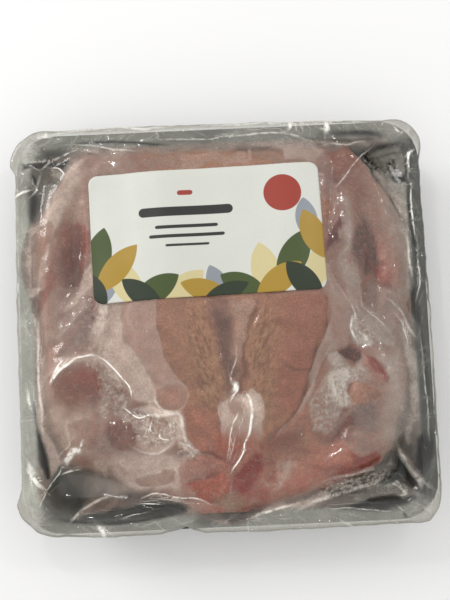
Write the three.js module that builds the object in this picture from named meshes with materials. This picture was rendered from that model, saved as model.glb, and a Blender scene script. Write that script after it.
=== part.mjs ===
import * as THREE from 'three';

// A spatchcocked chicken, breast up and legs towards -Y, on a black plastic tray, the whole drawn tight
// in a clear bag that carries a paper label. Millimetres, +Z up, the origin at the centre of the tray's
// underside. The bag and what it holds are one solid down to the inside of the tray.

// Tray: outer half sizes over the flange, and the shell's own measures
const TRAY_HALF_X = 131;
const TRAY_HALF_Y = 128;
const TRAY_HEIGHT = 38;
const TRAY_CORNER = 24;
const CORNER_TIGHTENING = 0.45;
const SHELL = 1.1;
const FLANGE_WIDTH = 8;
const LIP_DEPTH = 3.2;
const WALL_LEAN = 8.5;
const FOOT_CURVE = 3;
const TRAY_STEPS = 28;

// Bag: its edge beyond the flange, and the gap that it keeps to the tray
const BAG_MARGIN = 1.6;
const BAG_EDGE = 1.3;
const BAG_CORNER = 22;
const BAG_STEPS = 56;
const GAP = 0.4;
const RIM_BLEND = 14;
const FORM_BLEND = 7;
const CORNER_SHARE = 0.2;

// Label: a sheet of paper stuck to the bag over the breast
const LABEL_WIDTH = 148;
const LABEL_HEIGHT = 82;
const LABEL_CENTRE = [-9, 61];
const LABEL_CORNER = 6;
const LABEL_THICKNESS = 0.5;
const LABEL_LIFT = 0.9;
const LABEL_GAP = 0.7;
const LABEL_STEPS = [20, 12];
const PAPER_REACH = 12;
const PRESS_MARGIN = 6;

// The flesh under the bag. Each form is a rounded ridge: its crest runs through points [x, y, height],
// and it falls away by drop at the distance reach to either side.
const FORMS = {
  breastLeft: {
    crest: [[-38, 86, 51], [-34, 40, 56], [-31, 0, 57], [-25, -45, 54], [-12, -92, 46]],
    reach: 40,
    drop: 13,
  },
  breastRight: {
    crest: [[48, 84, 51], [46, 38, 56], [41, 0, 56.5], [31, -46, 54], [16, -92, 45]],
    reach: 40,
    drop: 13,
  },
  keel: {
    crest: [[8, 92, 48], [8, 30, 53.5], [6, -40, 52.5], [4, -98, 44]],
    reach: 34,
    drop: 7,
  },
  neck: {
    crest: [[-82, 109, 42], [-36, 112, 43], [10, 111, 42], [54, 109, 43], [82, 105, 42]],
    reach: 17,
    drop: 9,
  },
  wingLeftOuter: {
    crest: [[-88, 107, 43], [-103, 88, 43], [-111, 60, 44], [-112, 28, 45], [-109, 0, 44]],
    reach: 13,
    drop: 8,
  },
  wingLeftInner: {
    crest: [[-85, 104, 43], [-80, 75, 45], [-77, 40, 46], [-74, 12, 45]],
    reach: 13,
    drop: 8,
  },
  wingRightOuter: {
    crest: [[86, 105, 43], [99, 84, 43], [108, 55, 44], [111, 25, 45], [108, -5, 44]],
    reach: 13,
    drop: 8,
  },
  wingRightInner: {
    crest: [[82, 102, 43], [81, 75, 44], [83, 45, 45], [80, 12, 45]],
    reach: 13,
    drop: 8,
  },
  thighLeft: {
    crest: [[-92, 8, 43], [-96, -32, 51], [-84, -60, 47]],
    reach: 28,
    drop: 17,
  },
  drumLeft: {
    crest: [[-88, -56, 46], [-66, -74, 45], [-42, -90, 43], [-14, -109, 40]],
    reach: 18,
    drop: 11,
  },
  thighRight: {
    crest: [[94, -12, 43], [94, -52, 50], [88, -74, 46]],
    reach: 28,
    drop: 17,
  },
  drumRight: {
    crest: [[92, -74, 46], [72, -89, 45], [44, -98, 43], [14, -110, 40]],
    reach: 17,
    drop: 11,
  },
  flankLeft: {
    crest: [[-66, 10, 41], [-58, -28, 42], [-46, -58, 41]],
    reach: 18,
    drop: 8,
  },
  flankRight: {
    crest: [[70, 8, 42], [62, -24, 42], [52, -52, 41]],
    reach: 18,
    drop: 8,
  },
  tail: {
    crest: [[-22, -96, 40], [4, -103, 41.5], [28, -99, 40]],
    reach: 16,
    drop: 8,
  },
};
const CREST_STEPS = 14;

// Where nothing fills the tray the bag sags between flesh and flange, deepest at the lower corners
const SLACK_LEVEL = TRAY_HEIGHT - 1;
const PITS = [
  { x: -108, y: 102, reach: 24, depth: 6 },
  { x: 106, y: 97, reach: 26, depth: 6 },
  { x: -94, y: -99, reach: 28, depth: 14 },
  { x: 100, y: -101, reach: 26, depth: 11 },
];

// The bag's edge: ears at the corners, a notch in the lower edge, and the crimped tail of the upper one
const EDGE_WAVES = [
  { x: -134, y: 112, reach: 9, out: 3.5 },
  { x: -118, y: 130, reach: 12, out: 2 },
  { x: 130, y: 113, reach: 9, out: 2.5 },
  { x: 118, y: 130, reach: 12, out: 3.5 },
  { x: -136, y: -111, reach: 9, out: 5 },
  { x: -118, y: -129, reach: 14, out: 2.5 },
  { x: 133, y: -114, reach: 9, out: 4 },
  { x: 120, y: -131, reach: 12, out: 4 },
  { x: -30, y: -130, reach: 7, out: -3 },
  { x: -62, y: -130, reach: 22, out: 1.2 },
  { x: 20, y: 130, reach: 60, out: 1.6 },
];

const blackPlastic = new THREE.MeshStandardMaterial({ color: 0x17191a, roughness: 0.35, metalness: 0 });
const skinUnderFilm = new THREE.MeshStandardMaterial({ color: 0x9f7a68, roughness: 0.3, metalness: 0 });
const paper = new THREE.MeshStandardMaterial({ color: 0xd8d9d0, roughness: 0.55, metalness: 0 });

// Collects points and triangles of one closed body
class Skin {
  constructor() {
    this.points = [];
    this.faces = [];
  }

  point(x, y, z) {
    this.points.push(x, y, z);
    return this.points.length / 3 - 1;
  }

  // Splits a four-sided face along its shorter diagonal
  quad(a, b, c, d) {
    const faces = this.span(a, c) <= this.span(b, d) ? [a, b, c, a, c, d] : [a, b, d, b, c, d];
    this.faces.push(...faces);
  }

  span(a, b) {
    return Math.hypot(...[0, 1, 2].map((k) => this.points[3 * a + k] - this.points[3 * b + k]));
  }

  // Joins two loops of equal length, the second further along the surface
  strip(first, second) {
    first.forEach((_, i) => {
      const next = (i + 1) % first.length;
      this.quad(first[i], first[next], second[next], second[i]);
    });
  }

  fan(loop, centre) {
    loop.forEach((index, i) => this.faces.push(index, loop[(i + 1) % loop.length], centre));
  }

  mesh(name, material) {
    const geometry = new THREE.BufferGeometry();
    geometry.setAttribute('position', new THREE.Float32BufferAttribute(this.points, 3));
    geometry.setIndex(this.faces);
    geometry.computeVertexNormals();
    const mesh = new THREE.Mesh(geometry, material);
    mesh.name = name;
    return mesh;
  }
}

// A point of a rounded rectangle for a point (u, v) on the edge of the square from -1 to 1
function roundedPoint(u, v, halfX, halfY, radius) {
  const onSide = Math.abs(u) >= Math.abs(v);
  const along = onSide ? v : u;
  const share = 1 - CORNER_SHARE;
  const straight = Math.min(Math.abs(along) / share, 1);
  const angle = (Math.max(Math.abs(along) - share, 0) / CORNER_SHARE) * Math.PI / 4;
  const turn = Math.sign(along);
  const reach = (half) => turn * (straight * (half - radius) + radius * Math.sin(angle));
  const out = (half) => half - radius + radius * Math.cos(angle);
  return onSide ? [Math.sign(u) * out(halfX), reach(halfY)] : [reach(halfX), Math.sign(v) * out(halfY)];
}

// The square's edge as a loop of points, counter-clockwise
function squareLoop(steps) {
  const side = Array.from({ length: steps }, (_, i) => -1 + 2 * i / steps);
  return [
    ...side.map((t) => [t, -1]),
    ...side.map((t) => [1, t]),
    ...side.map((t) => [-t, 1]),
    ...side.map((t) => [-1, -t]),
  ];
}

function trayPoint(u, v, inset) {
  const radius = TRAY_CORNER - CORNER_TIGHTENING * inset;
  return roundedPoint(u, v, TRAY_HALF_X - inset, TRAY_HALF_Y - inset, radius);
}

// Distance inside the tray's mouth, negative over the flange and beyond
function insideMouth(x, y) {
  const radius = TRAY_CORNER - CORNER_TIGHTENING * FLANGE_WIDTH;
  const overX = Math.abs(x) - (TRAY_HALF_X - FLANGE_WIDTH - radius);
  const overY = Math.abs(y) - (TRAY_HALF_Y - FLANGE_WIDTH - radius);
  const corner = Math.hypot(Math.max(overX, 0), Math.max(overY, 0));
  return radius - corner - Math.min(Math.max(overX, overY), 0);
}

// The tray's inner face from flange to floor, as [inset from the outer edge, height]
function innerProfile() {
  const foot = FLANGE_WIDTH + SHELL + WALL_LEAN;
  return [
    [FLANGE_WIDTH, TRAY_HEIGHT],
    [FLANGE_WIDTH + SHELL, TRAY_HEIGHT - SHELL],
    [foot, SHELL + FOOT_CURVE],
    [foot + 0.3 * FOOT_CURVE, SHELL + 0.3 * FOOT_CURVE],
    [foot + FOOT_CURVE, SHELL],
  ];
}

// The tray's outer face from the foot up, round the flange's turned-down lip to its top
function outerProfile() {
  const foot = FLANGE_WIDTH + WALL_LEAN;
  return [
    [foot + FOOT_CURVE, 0],
    [foot + 0.3 * FOOT_CURVE, 0.3 * FOOT_CURVE],
    [foot, FOOT_CURVE],
    [FLANGE_WIDTH, TRAY_HEIGHT - 2 * SHELL],
    [FLANGE_WIDTH - SHELL, TRAY_HEIGHT - SHELL],
    [SHELL, TRAY_HEIGHT - SHELL],
    [SHELL, TRAY_HEIGHT - LIP_DEPTH],
    [0, TRAY_HEIGHT - LIP_DEPTH],
    [0, TRAY_HEIGHT - 0.5 * SHELL],
    [0.5 * SHELL, TRAY_HEIGHT],
  ];
}

function makeTray() {
  const skin = new Skin();
  const edge = squareLoop(TRAY_STEPS);
  const loops = [...outerProfile(), ...innerProfile()].map(([inset, z]) =>
    edge.map(([u, v]) => skin.point(...trayPoint(u, v, inset), z)));
  loops.slice(1).forEach((loop, i) => skin.strip(loops[i], loop));
  skin.fan([...loops[0]].reverse(), skin.point(0, 0, 0));
  skin.fan(loops[loops.length - 1], skin.point(0, 0, SHELL));
  return skin.mesh('tray', blackPlastic);
}

function smoothMax(a, b, blend) {
  const near = Math.max(blend - Math.abs(a - b), 0) / blend;
  return Math.max(a, b) + near * near * blend / 4;
}

function smoothStep(t) {
  const s = Math.min(Math.max(t, 0), 1);
  return s * s * (3 - 2 * s);
}

const crestLines = Object.values(FORMS).map((form) => {
  const curve = new THREE.CatmullRomCurve3(form.crest.map((point) => new THREE.Vector3(...point)));
  return { ...form, line: curve.getPoints(CREST_STEPS) };
});

// Height of one form over (x, y), from the nearest place of its crest
function formHeight(form, x, y) {
  let nearest = Infinity;
  let crest = 0;
  for (let i = 1; i < form.line.length; i += 1) {
    const a = form.line[i - 1];
    const b = form.line[i];
    const dx = b.x - a.x;
    const dy = b.y - a.y;
    const t = Math.min(Math.max(((x - a.x) * dx + (y - a.y) * dy) / (dx * dx + dy * dy), 0), 1);
    const distance = Math.hypot(x - a.x - t * dx, y - a.y - t * dy);
    if (distance < nearest) {
      nearest = distance;
      crest = a.z + t * (b.z - a.z);
    }
  }
  return crest - form.drop * (nearest / form.reach) ** 2;
}

// Falls from 1 at a place to nothing a little beyond its reach
function fade(x, y, place) {
  return Math.exp(-((x - place.x) ** 2 + (y - place.y) ** 2) / place.reach ** 2);
}

function slackHeight(x, y) {
  const dips = PITS.map((pit) => pit.depth * fade(x, y, pit));
  return SLACK_LEVEL - Math.max(...dips);
}

// Height of the bag's upper face before the label presses on it
function bagHeight(x, y) {
  const rim = TRAY_HEIGHT + GAP + BAG_EDGE;
  const addForm = (z, form) => smoothMax(z, formHeight(form, x, y), FORM_BLEND);
  const free = crestLines.reduce(addForm, slackHeight(x, y));
  return rim + (free - rim) * smoothStep(insideMouth(x, y) / RIM_BLEND);
}

// Underside of the label: stiff paper bridges hollows, so it lies at the mean of the bag round about
function paperHeight(x, y) {
  const reaches = [-1, -0.5, 0, 0.5, 1].map((share) => share * PAPER_REACH);
  const around = reaches.flatMap((dx) => reaches.map((dy) => bagHeight(x + dx, y + dy)));
  return around.reduce((sum, z) => sum + z, 0) / around.length + LABEL_LIFT;
}

// How far the label presses on the bag: 1 under it and just past its edge, then fading to 0
function labelPress(x, y) {
  const pastX = Math.max(Math.abs(x - LABEL_CENTRE[0]) - LABEL_WIDTH / 2, 0);
  const pastY = Math.max(Math.abs(y - LABEL_CENTRE[1]) - LABEL_HEIGHT / 2, 0);
  return 1 - smoothStep((Math.hypot(pastX, pastY) - PRESS_MARGIN) / PAPER_REACH);
}

function topHeight(x, y) {
  const free = bagHeight(x, y);
  const press = labelPress(x, y);
  return press > 0 ? free - press * Math.max(free - paperHeight(x, y) + LABEL_GAP, 0) : free;
}

// The bag's edge: a rounded rectangle pushed out or in near each wave
function bagEdge(u, v) {
  const [x, y] = roundedPoint(u, v, TRAY_HALF_X + BAG_MARGIN, TRAY_HALF_Y + BAG_MARGIN, BAG_CORNER);
  const push = EDGE_WAVES.reduce((sum, wave) => sum + wave.out * fade(x, y, wave), 0);
  const far = Math.hypot(x, y);
  return [x * (1 + push / far), y * (1 + push / far)];
}

// Grid points over a square, its rings growing from the centre to the outline
function gridPoints(stepsU, stepsV, outline) {
  const rows = Array.from({ length: stepsV + 1 }, (_, j) => -1 + 2 * j / stepsV);
  const columns = Array.from({ length: stepsU + 1 }, (_, i) => -1 + 2 * i / stepsU);
  return rows.map((v) => columns.map((u) => {
    const ring = Math.max(Math.abs(u), Math.abs(v));
    return ring === 0 ? [0, 0] : outline(u / ring, v / ring).map((value) => value * ring);
  }));
}

// Adds a grid as a face, up or down, and returns its edge as a counter-clockwise loop
function addGrid(skin, grid, height, faceUp) {
  const ids = grid.map((row) => row.map(([x, y]) => skin.point(x, y, height(x, y))));
  for (let j = 1; j < ids.length; j += 1) {
    for (let i = 1; i < ids[j].length; i += 1) {
      const corners = [ids[j - 1][i - 1], ids[j - 1][i], ids[j][i], ids[j][i - 1]];
      skin.quad(...(faceUp ? corners : corners.reverse()));
    }
  }
  const last = ids.length - 1;
  const end = ids[0].length - 1;
  return [
    ...ids[0].slice(0, end),
    ...ids.slice(0, last).map((row) => row[end]),
    ...ids[last].slice(1).reverse(),
    ...ids.slice(1).map((row) => row[0]).reverse(),
  ];
}

function makeBaggedChicken() {
  const skin = new Skin();
  const top = addGrid(skin, gridPoints(BAG_STEPS, BAG_STEPS, bagEdge), topHeight, true);
  const edge = squareLoop(BAG_STEPS);
  const under = edge.map(([u, v]) => skin.point(...bagEdge(u, v), TRAY_HEIGHT + GAP));
  const inner = innerProfile().map(([inset, z]) =>
    edge.map(([u, v]) => skin.point(...trayPoint(u, v, inset + GAP), z + GAP)));
  const loops = [top, under, ...inner];
  loops.slice(1).forEach((loop, i) => skin.strip(loop, loops[i]));
  const floor = [...inner[inner.length - 1]].reverse();
  skin.fan(floor, skin.point(0, 0, SHELL + GAP));
  return skin.mesh('bagged_chicken', skinUnderFilm);
}

function makeLabel() {
  const skin = new Skin();
  const outline = (u, v) => roundedPoint(u, v, LABEL_WIDTH / 2, LABEL_HEIGHT / 2, LABEL_CORNER);
  const grid = gridPoints(...LABEL_STEPS, outline).map((row) =>
    row.map(([x, y]) => [x + LABEL_CENTRE[0], y + LABEL_CENTRE[1]]));
  const face = addGrid(skin, grid, (x, y) => paperHeight(x, y) + LABEL_THICKNESS, true);
  const back = addGrid(skin, grid, paperHeight, false);
  skin.strip(back, face);
  return skin.mesh('label', paper);
}

const pack = new THREE.Group();
pack.name = 'spatchcock_chicken_pack';
pack.add(makeTray(), makeBaggedChicken(), makeLabel());

export default pack;
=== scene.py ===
"""The looks of a packed spatchcock chicken: the bird, its clear film, the label and the black tray."""
import math

import bmesh
import bpy
import numpy as np
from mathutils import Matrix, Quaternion, Vector


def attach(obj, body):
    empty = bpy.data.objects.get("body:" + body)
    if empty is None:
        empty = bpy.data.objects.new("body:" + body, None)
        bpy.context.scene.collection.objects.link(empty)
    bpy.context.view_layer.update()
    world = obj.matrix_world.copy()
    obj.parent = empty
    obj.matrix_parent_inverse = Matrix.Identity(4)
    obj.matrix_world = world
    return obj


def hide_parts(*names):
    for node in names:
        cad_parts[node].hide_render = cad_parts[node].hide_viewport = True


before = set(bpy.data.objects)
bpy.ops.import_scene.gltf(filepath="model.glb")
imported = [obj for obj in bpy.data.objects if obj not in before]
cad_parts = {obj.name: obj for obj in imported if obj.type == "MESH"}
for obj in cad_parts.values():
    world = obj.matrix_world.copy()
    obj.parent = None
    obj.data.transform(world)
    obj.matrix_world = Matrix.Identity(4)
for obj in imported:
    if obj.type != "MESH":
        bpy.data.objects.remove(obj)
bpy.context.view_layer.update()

# Sizes of the solids, in millimetres
MM = 0.001
TRAY_HALF_X = 131
TRAY_HALF_Y = 128
TRAY_HEIGHT = 38
TRAY_CORNER = 24
CORNER_TIGHTENING = 0.45
FLANGE_WIDTH = 8
BAG_MARGIN = 1.6
BAG_EDGE = 1.3
BAG_CORNER = 22
GAP = 0.4
RIM_BLEND = 14
FORM_BLEND = 7
CORNER_SHARE = 0.2
CREST_STEPS = 14
SLACK_LEVEL = TRAY_HEIGHT - 1
LABEL_WIDTH = 148
LABEL_HEIGHT = 83
LABEL_CENTRE = (-9, 58.4)
LABEL_CORNER = 6
LABEL_TURN = 1.1
LABEL_THICKNESS = 0.45
LABEL_LIFT = 0.9
LABEL_GAP = 0.7
PAPER_REACH = 12
PRESS_MARGIN = 6
# The tray's inner wall, as places inside its mouth and heights there, and the bird's gap to it
WALL_PROFILE = [(0, 38), (1.1, 36.9), (9.6, 4.1), (10.5, 2.0), (12.6, 1.1)]
WALL_GAP = 0.5
BIRD_INSET = FLANGE_WIDTH + 0.8

# Crest points x, y, height, then the reach and the drop of each form under the film
FORMS = [
    ([(-38, 86, 51), (-34, 40, 56), (-31, 0, 57), (-25, -45, 54), (-12, -92, 46)], 40, 13),
    ([(48, 84, 51), (46, 38, 56), (41, 0, 56.5), (31, -46, 54), (16, -92, 45)], 40, 13),
    ([(8, 92, 48), (8, 30, 53.5), (6, -40, 52.5), (4, -98, 44)], 34, 7),
    ([(-82, 109, 42), (-36, 112, 43), (10, 111, 42), (54, 109, 43), (82, 105, 42)], 17, 9),
    ([(-88, 107, 43), (-103, 88, 43), (-111, 60, 44), (-112, 28, 45), (-109, 0, 44)], 13, 8),
    ([(-85, 104, 43), (-80, 75, 45), (-77, 40, 46), (-74, 12, 45)], 13, 8),
    ([(86, 105, 43), (99, 84, 43), (108, 55, 44), (111, 25, 45), (108, -5, 44)], 13, 8),
    ([(82, 102, 43), (81, 75, 44), (83, 45, 45), (80, 12, 45)], 13, 8),
    ([(-92, 8, 43), (-96, -32, 51), (-84, -60, 47)], 28, 17),
    ([(-88, -56, 46), (-66, -74, 45), (-42, -90, 43), (-14, -109, 40)], 18, 11),
    ([(94, -12, 43), (94, -52, 50), (88, -74, 46)], 28, 17),
    ([(92, -74, 46), (72, -89, 45), (44, -98, 43), (14, -110, 40)], 17, 11),
    ([(-66, 10, 41), (-58, -28, 42), (-46, -58, 41)], 18, 8),
    ([(70, 8, 42), (62, -24, 42), (52, -52, 41)], 18, 8),
    ([(-22, -96, 40), (4, -103, 41.5), (28, -99, 40)], 16, 8),
]
# Place, reach and depth of the hollows in the slack film
PITS = [(-108, 102, 24, 6), (106, 97, 26, 6), (-94, -99, 28, 14), (100, -101, 26, 11)]
# How far the bag's edge stands out beyond its even outline, at places round it
EDGE_KNOTS = [
    (132, -109, 0), (132, -120, 1.6), (125, -131, 4), (111, -129, 0.9), (60, -130, 1.6), (20, -130, 2.2),
    (-18, -130, 1.2), (-26, -129, -1.4), (-29, -127, -3.2), (-33, -129, -1.6), (-45, -130, 1.2),
    (-80, -131, 1.8), (-105, -130, 0.2), (-127, -124, 0), (-135, -116, 2.2), (-137, -110, 3.6),
    (-130, -97, -0.6), (-133, -60, -0.4), (-133, 20, 0.4), (-133, 98, -0.6), (-133, 104, -0.2),
    (-136, 109, 3.6), (-125, 127, 2.4), (-100, 130, 2), (-60, 130, 2.8), (-20, 130, 1.8), (20, 130, 1.6),
    (60, 130, 1), (90, 130, -0.2), (110, 130, -0.6), (120, 129, 1.4), (131, 116, 1.6), (133, 109, 0.2),
    (133, 101, -1.6), (133, 60, -1.2), (133, 0, 0.4), (133, -60, 0),
]

# The photograph's camera: its distance to a target on the level of the tray's rim, its tilt and its turn
RIM_LEVEL = 39
CAMERA_TARGET = (1.2, 15.4, RIM_LEVEL)
CAMERA_DISTANCE = 610
CAMERA_ELEVATION = math.radians(84.6)
CAMERA_ROLL = math.radians(-2.5)
# The photograph's size in pixels, and the size of a pixel at the target
PICTURE_WIDTH = 450
PICTURE_HEIGHT = 600
PIXEL_SIZE = 0.6425
SENSOR_WIDTH = 36

# Cells of the noise's lattice, before it repeats
NOISE_CELLS = 64

# Meshes of the scene
GRID_STEPS = 268
LABEL_STEPS = (150, 84)
FLESH_GAP = 0.45
LEAST_GAP = 0.2
FLESH_ROUNDING = 9
KEEL_X = 8
# Share of the way out from the middle where the film starts to round over its edge
EDGE_START = 0.984
# The bird's flat underside: its share of the outline above it, and its level
UNDERSIDE_SHARE = 0.88
UNDERSIDE_LEVEL = 1.7
FLOOR_LEVEL = -0.3
FLOOR_HALF = 1500
# The bird's outline, in millimetres on the level of the tray's rim, as the grooves and tracts below
BIRD_OUTLINE = [
    (-86, 117), (-96, 108), (-103, 96), (-110, 84), (-117, 75), (-124, 67), (-125, 40), (-121, 22),
    (-121, 2), (-121, -30), (-120, -62), (-114, -82), (-98, -87), (-81, -93), (-69, -100), (-52, -107),
    (-32, -112), (-16, -123), (2, -124), (14, -119), (38, -114), (60, -110), (76, -102), (89, -97),
    (97, -91), (106, -78), (112, -62), (118, -40), (121, -10), (120, 18), (123, 40), (119, 61),
    (113, 78), (103, 94), (92, 108), (86, 114), (56, 116), (0, 116), (-50, 118),
]

# Inset from the tray's outline and height of the film's rings below its edge
FILM_RINGS = [
    (-0.9, 36.8), (0.6, 35.2), (3.2, 33.2), (6.4, 29.5), (9.2, 24.0), (11.4, 17.0), (13.4, 10.0),
    (15.2, 4.0), (16.4, 1.2), (17.6, -0.1), (22.0, -0.2), (70.0, -0.2),
]
# Wrinkles along the border and scattered ones: their counts, the border loop's half sizes and the range
BORDER_WRINKLES = 90
SCATTERED_WRINKLES = 60
WRINKLE_LOOP = (127, 124)
WRINKLE_RANGE_X = (-118, 118)
WRINKLE_RANGE_Y = (-115, 112)
WRINKLE_WIDTH = 1.3
WRINKLE_THICKNESS = 0.8
# Where the corners' fans of wrinkles start from, and how far from there
FAN_PLACE = (125, 121)
FAN_REACH = 3
NEAR_CREASE = 11
# Distance inside a shape that stands for far outside of it
FAR_OUT = -9.0

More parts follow.
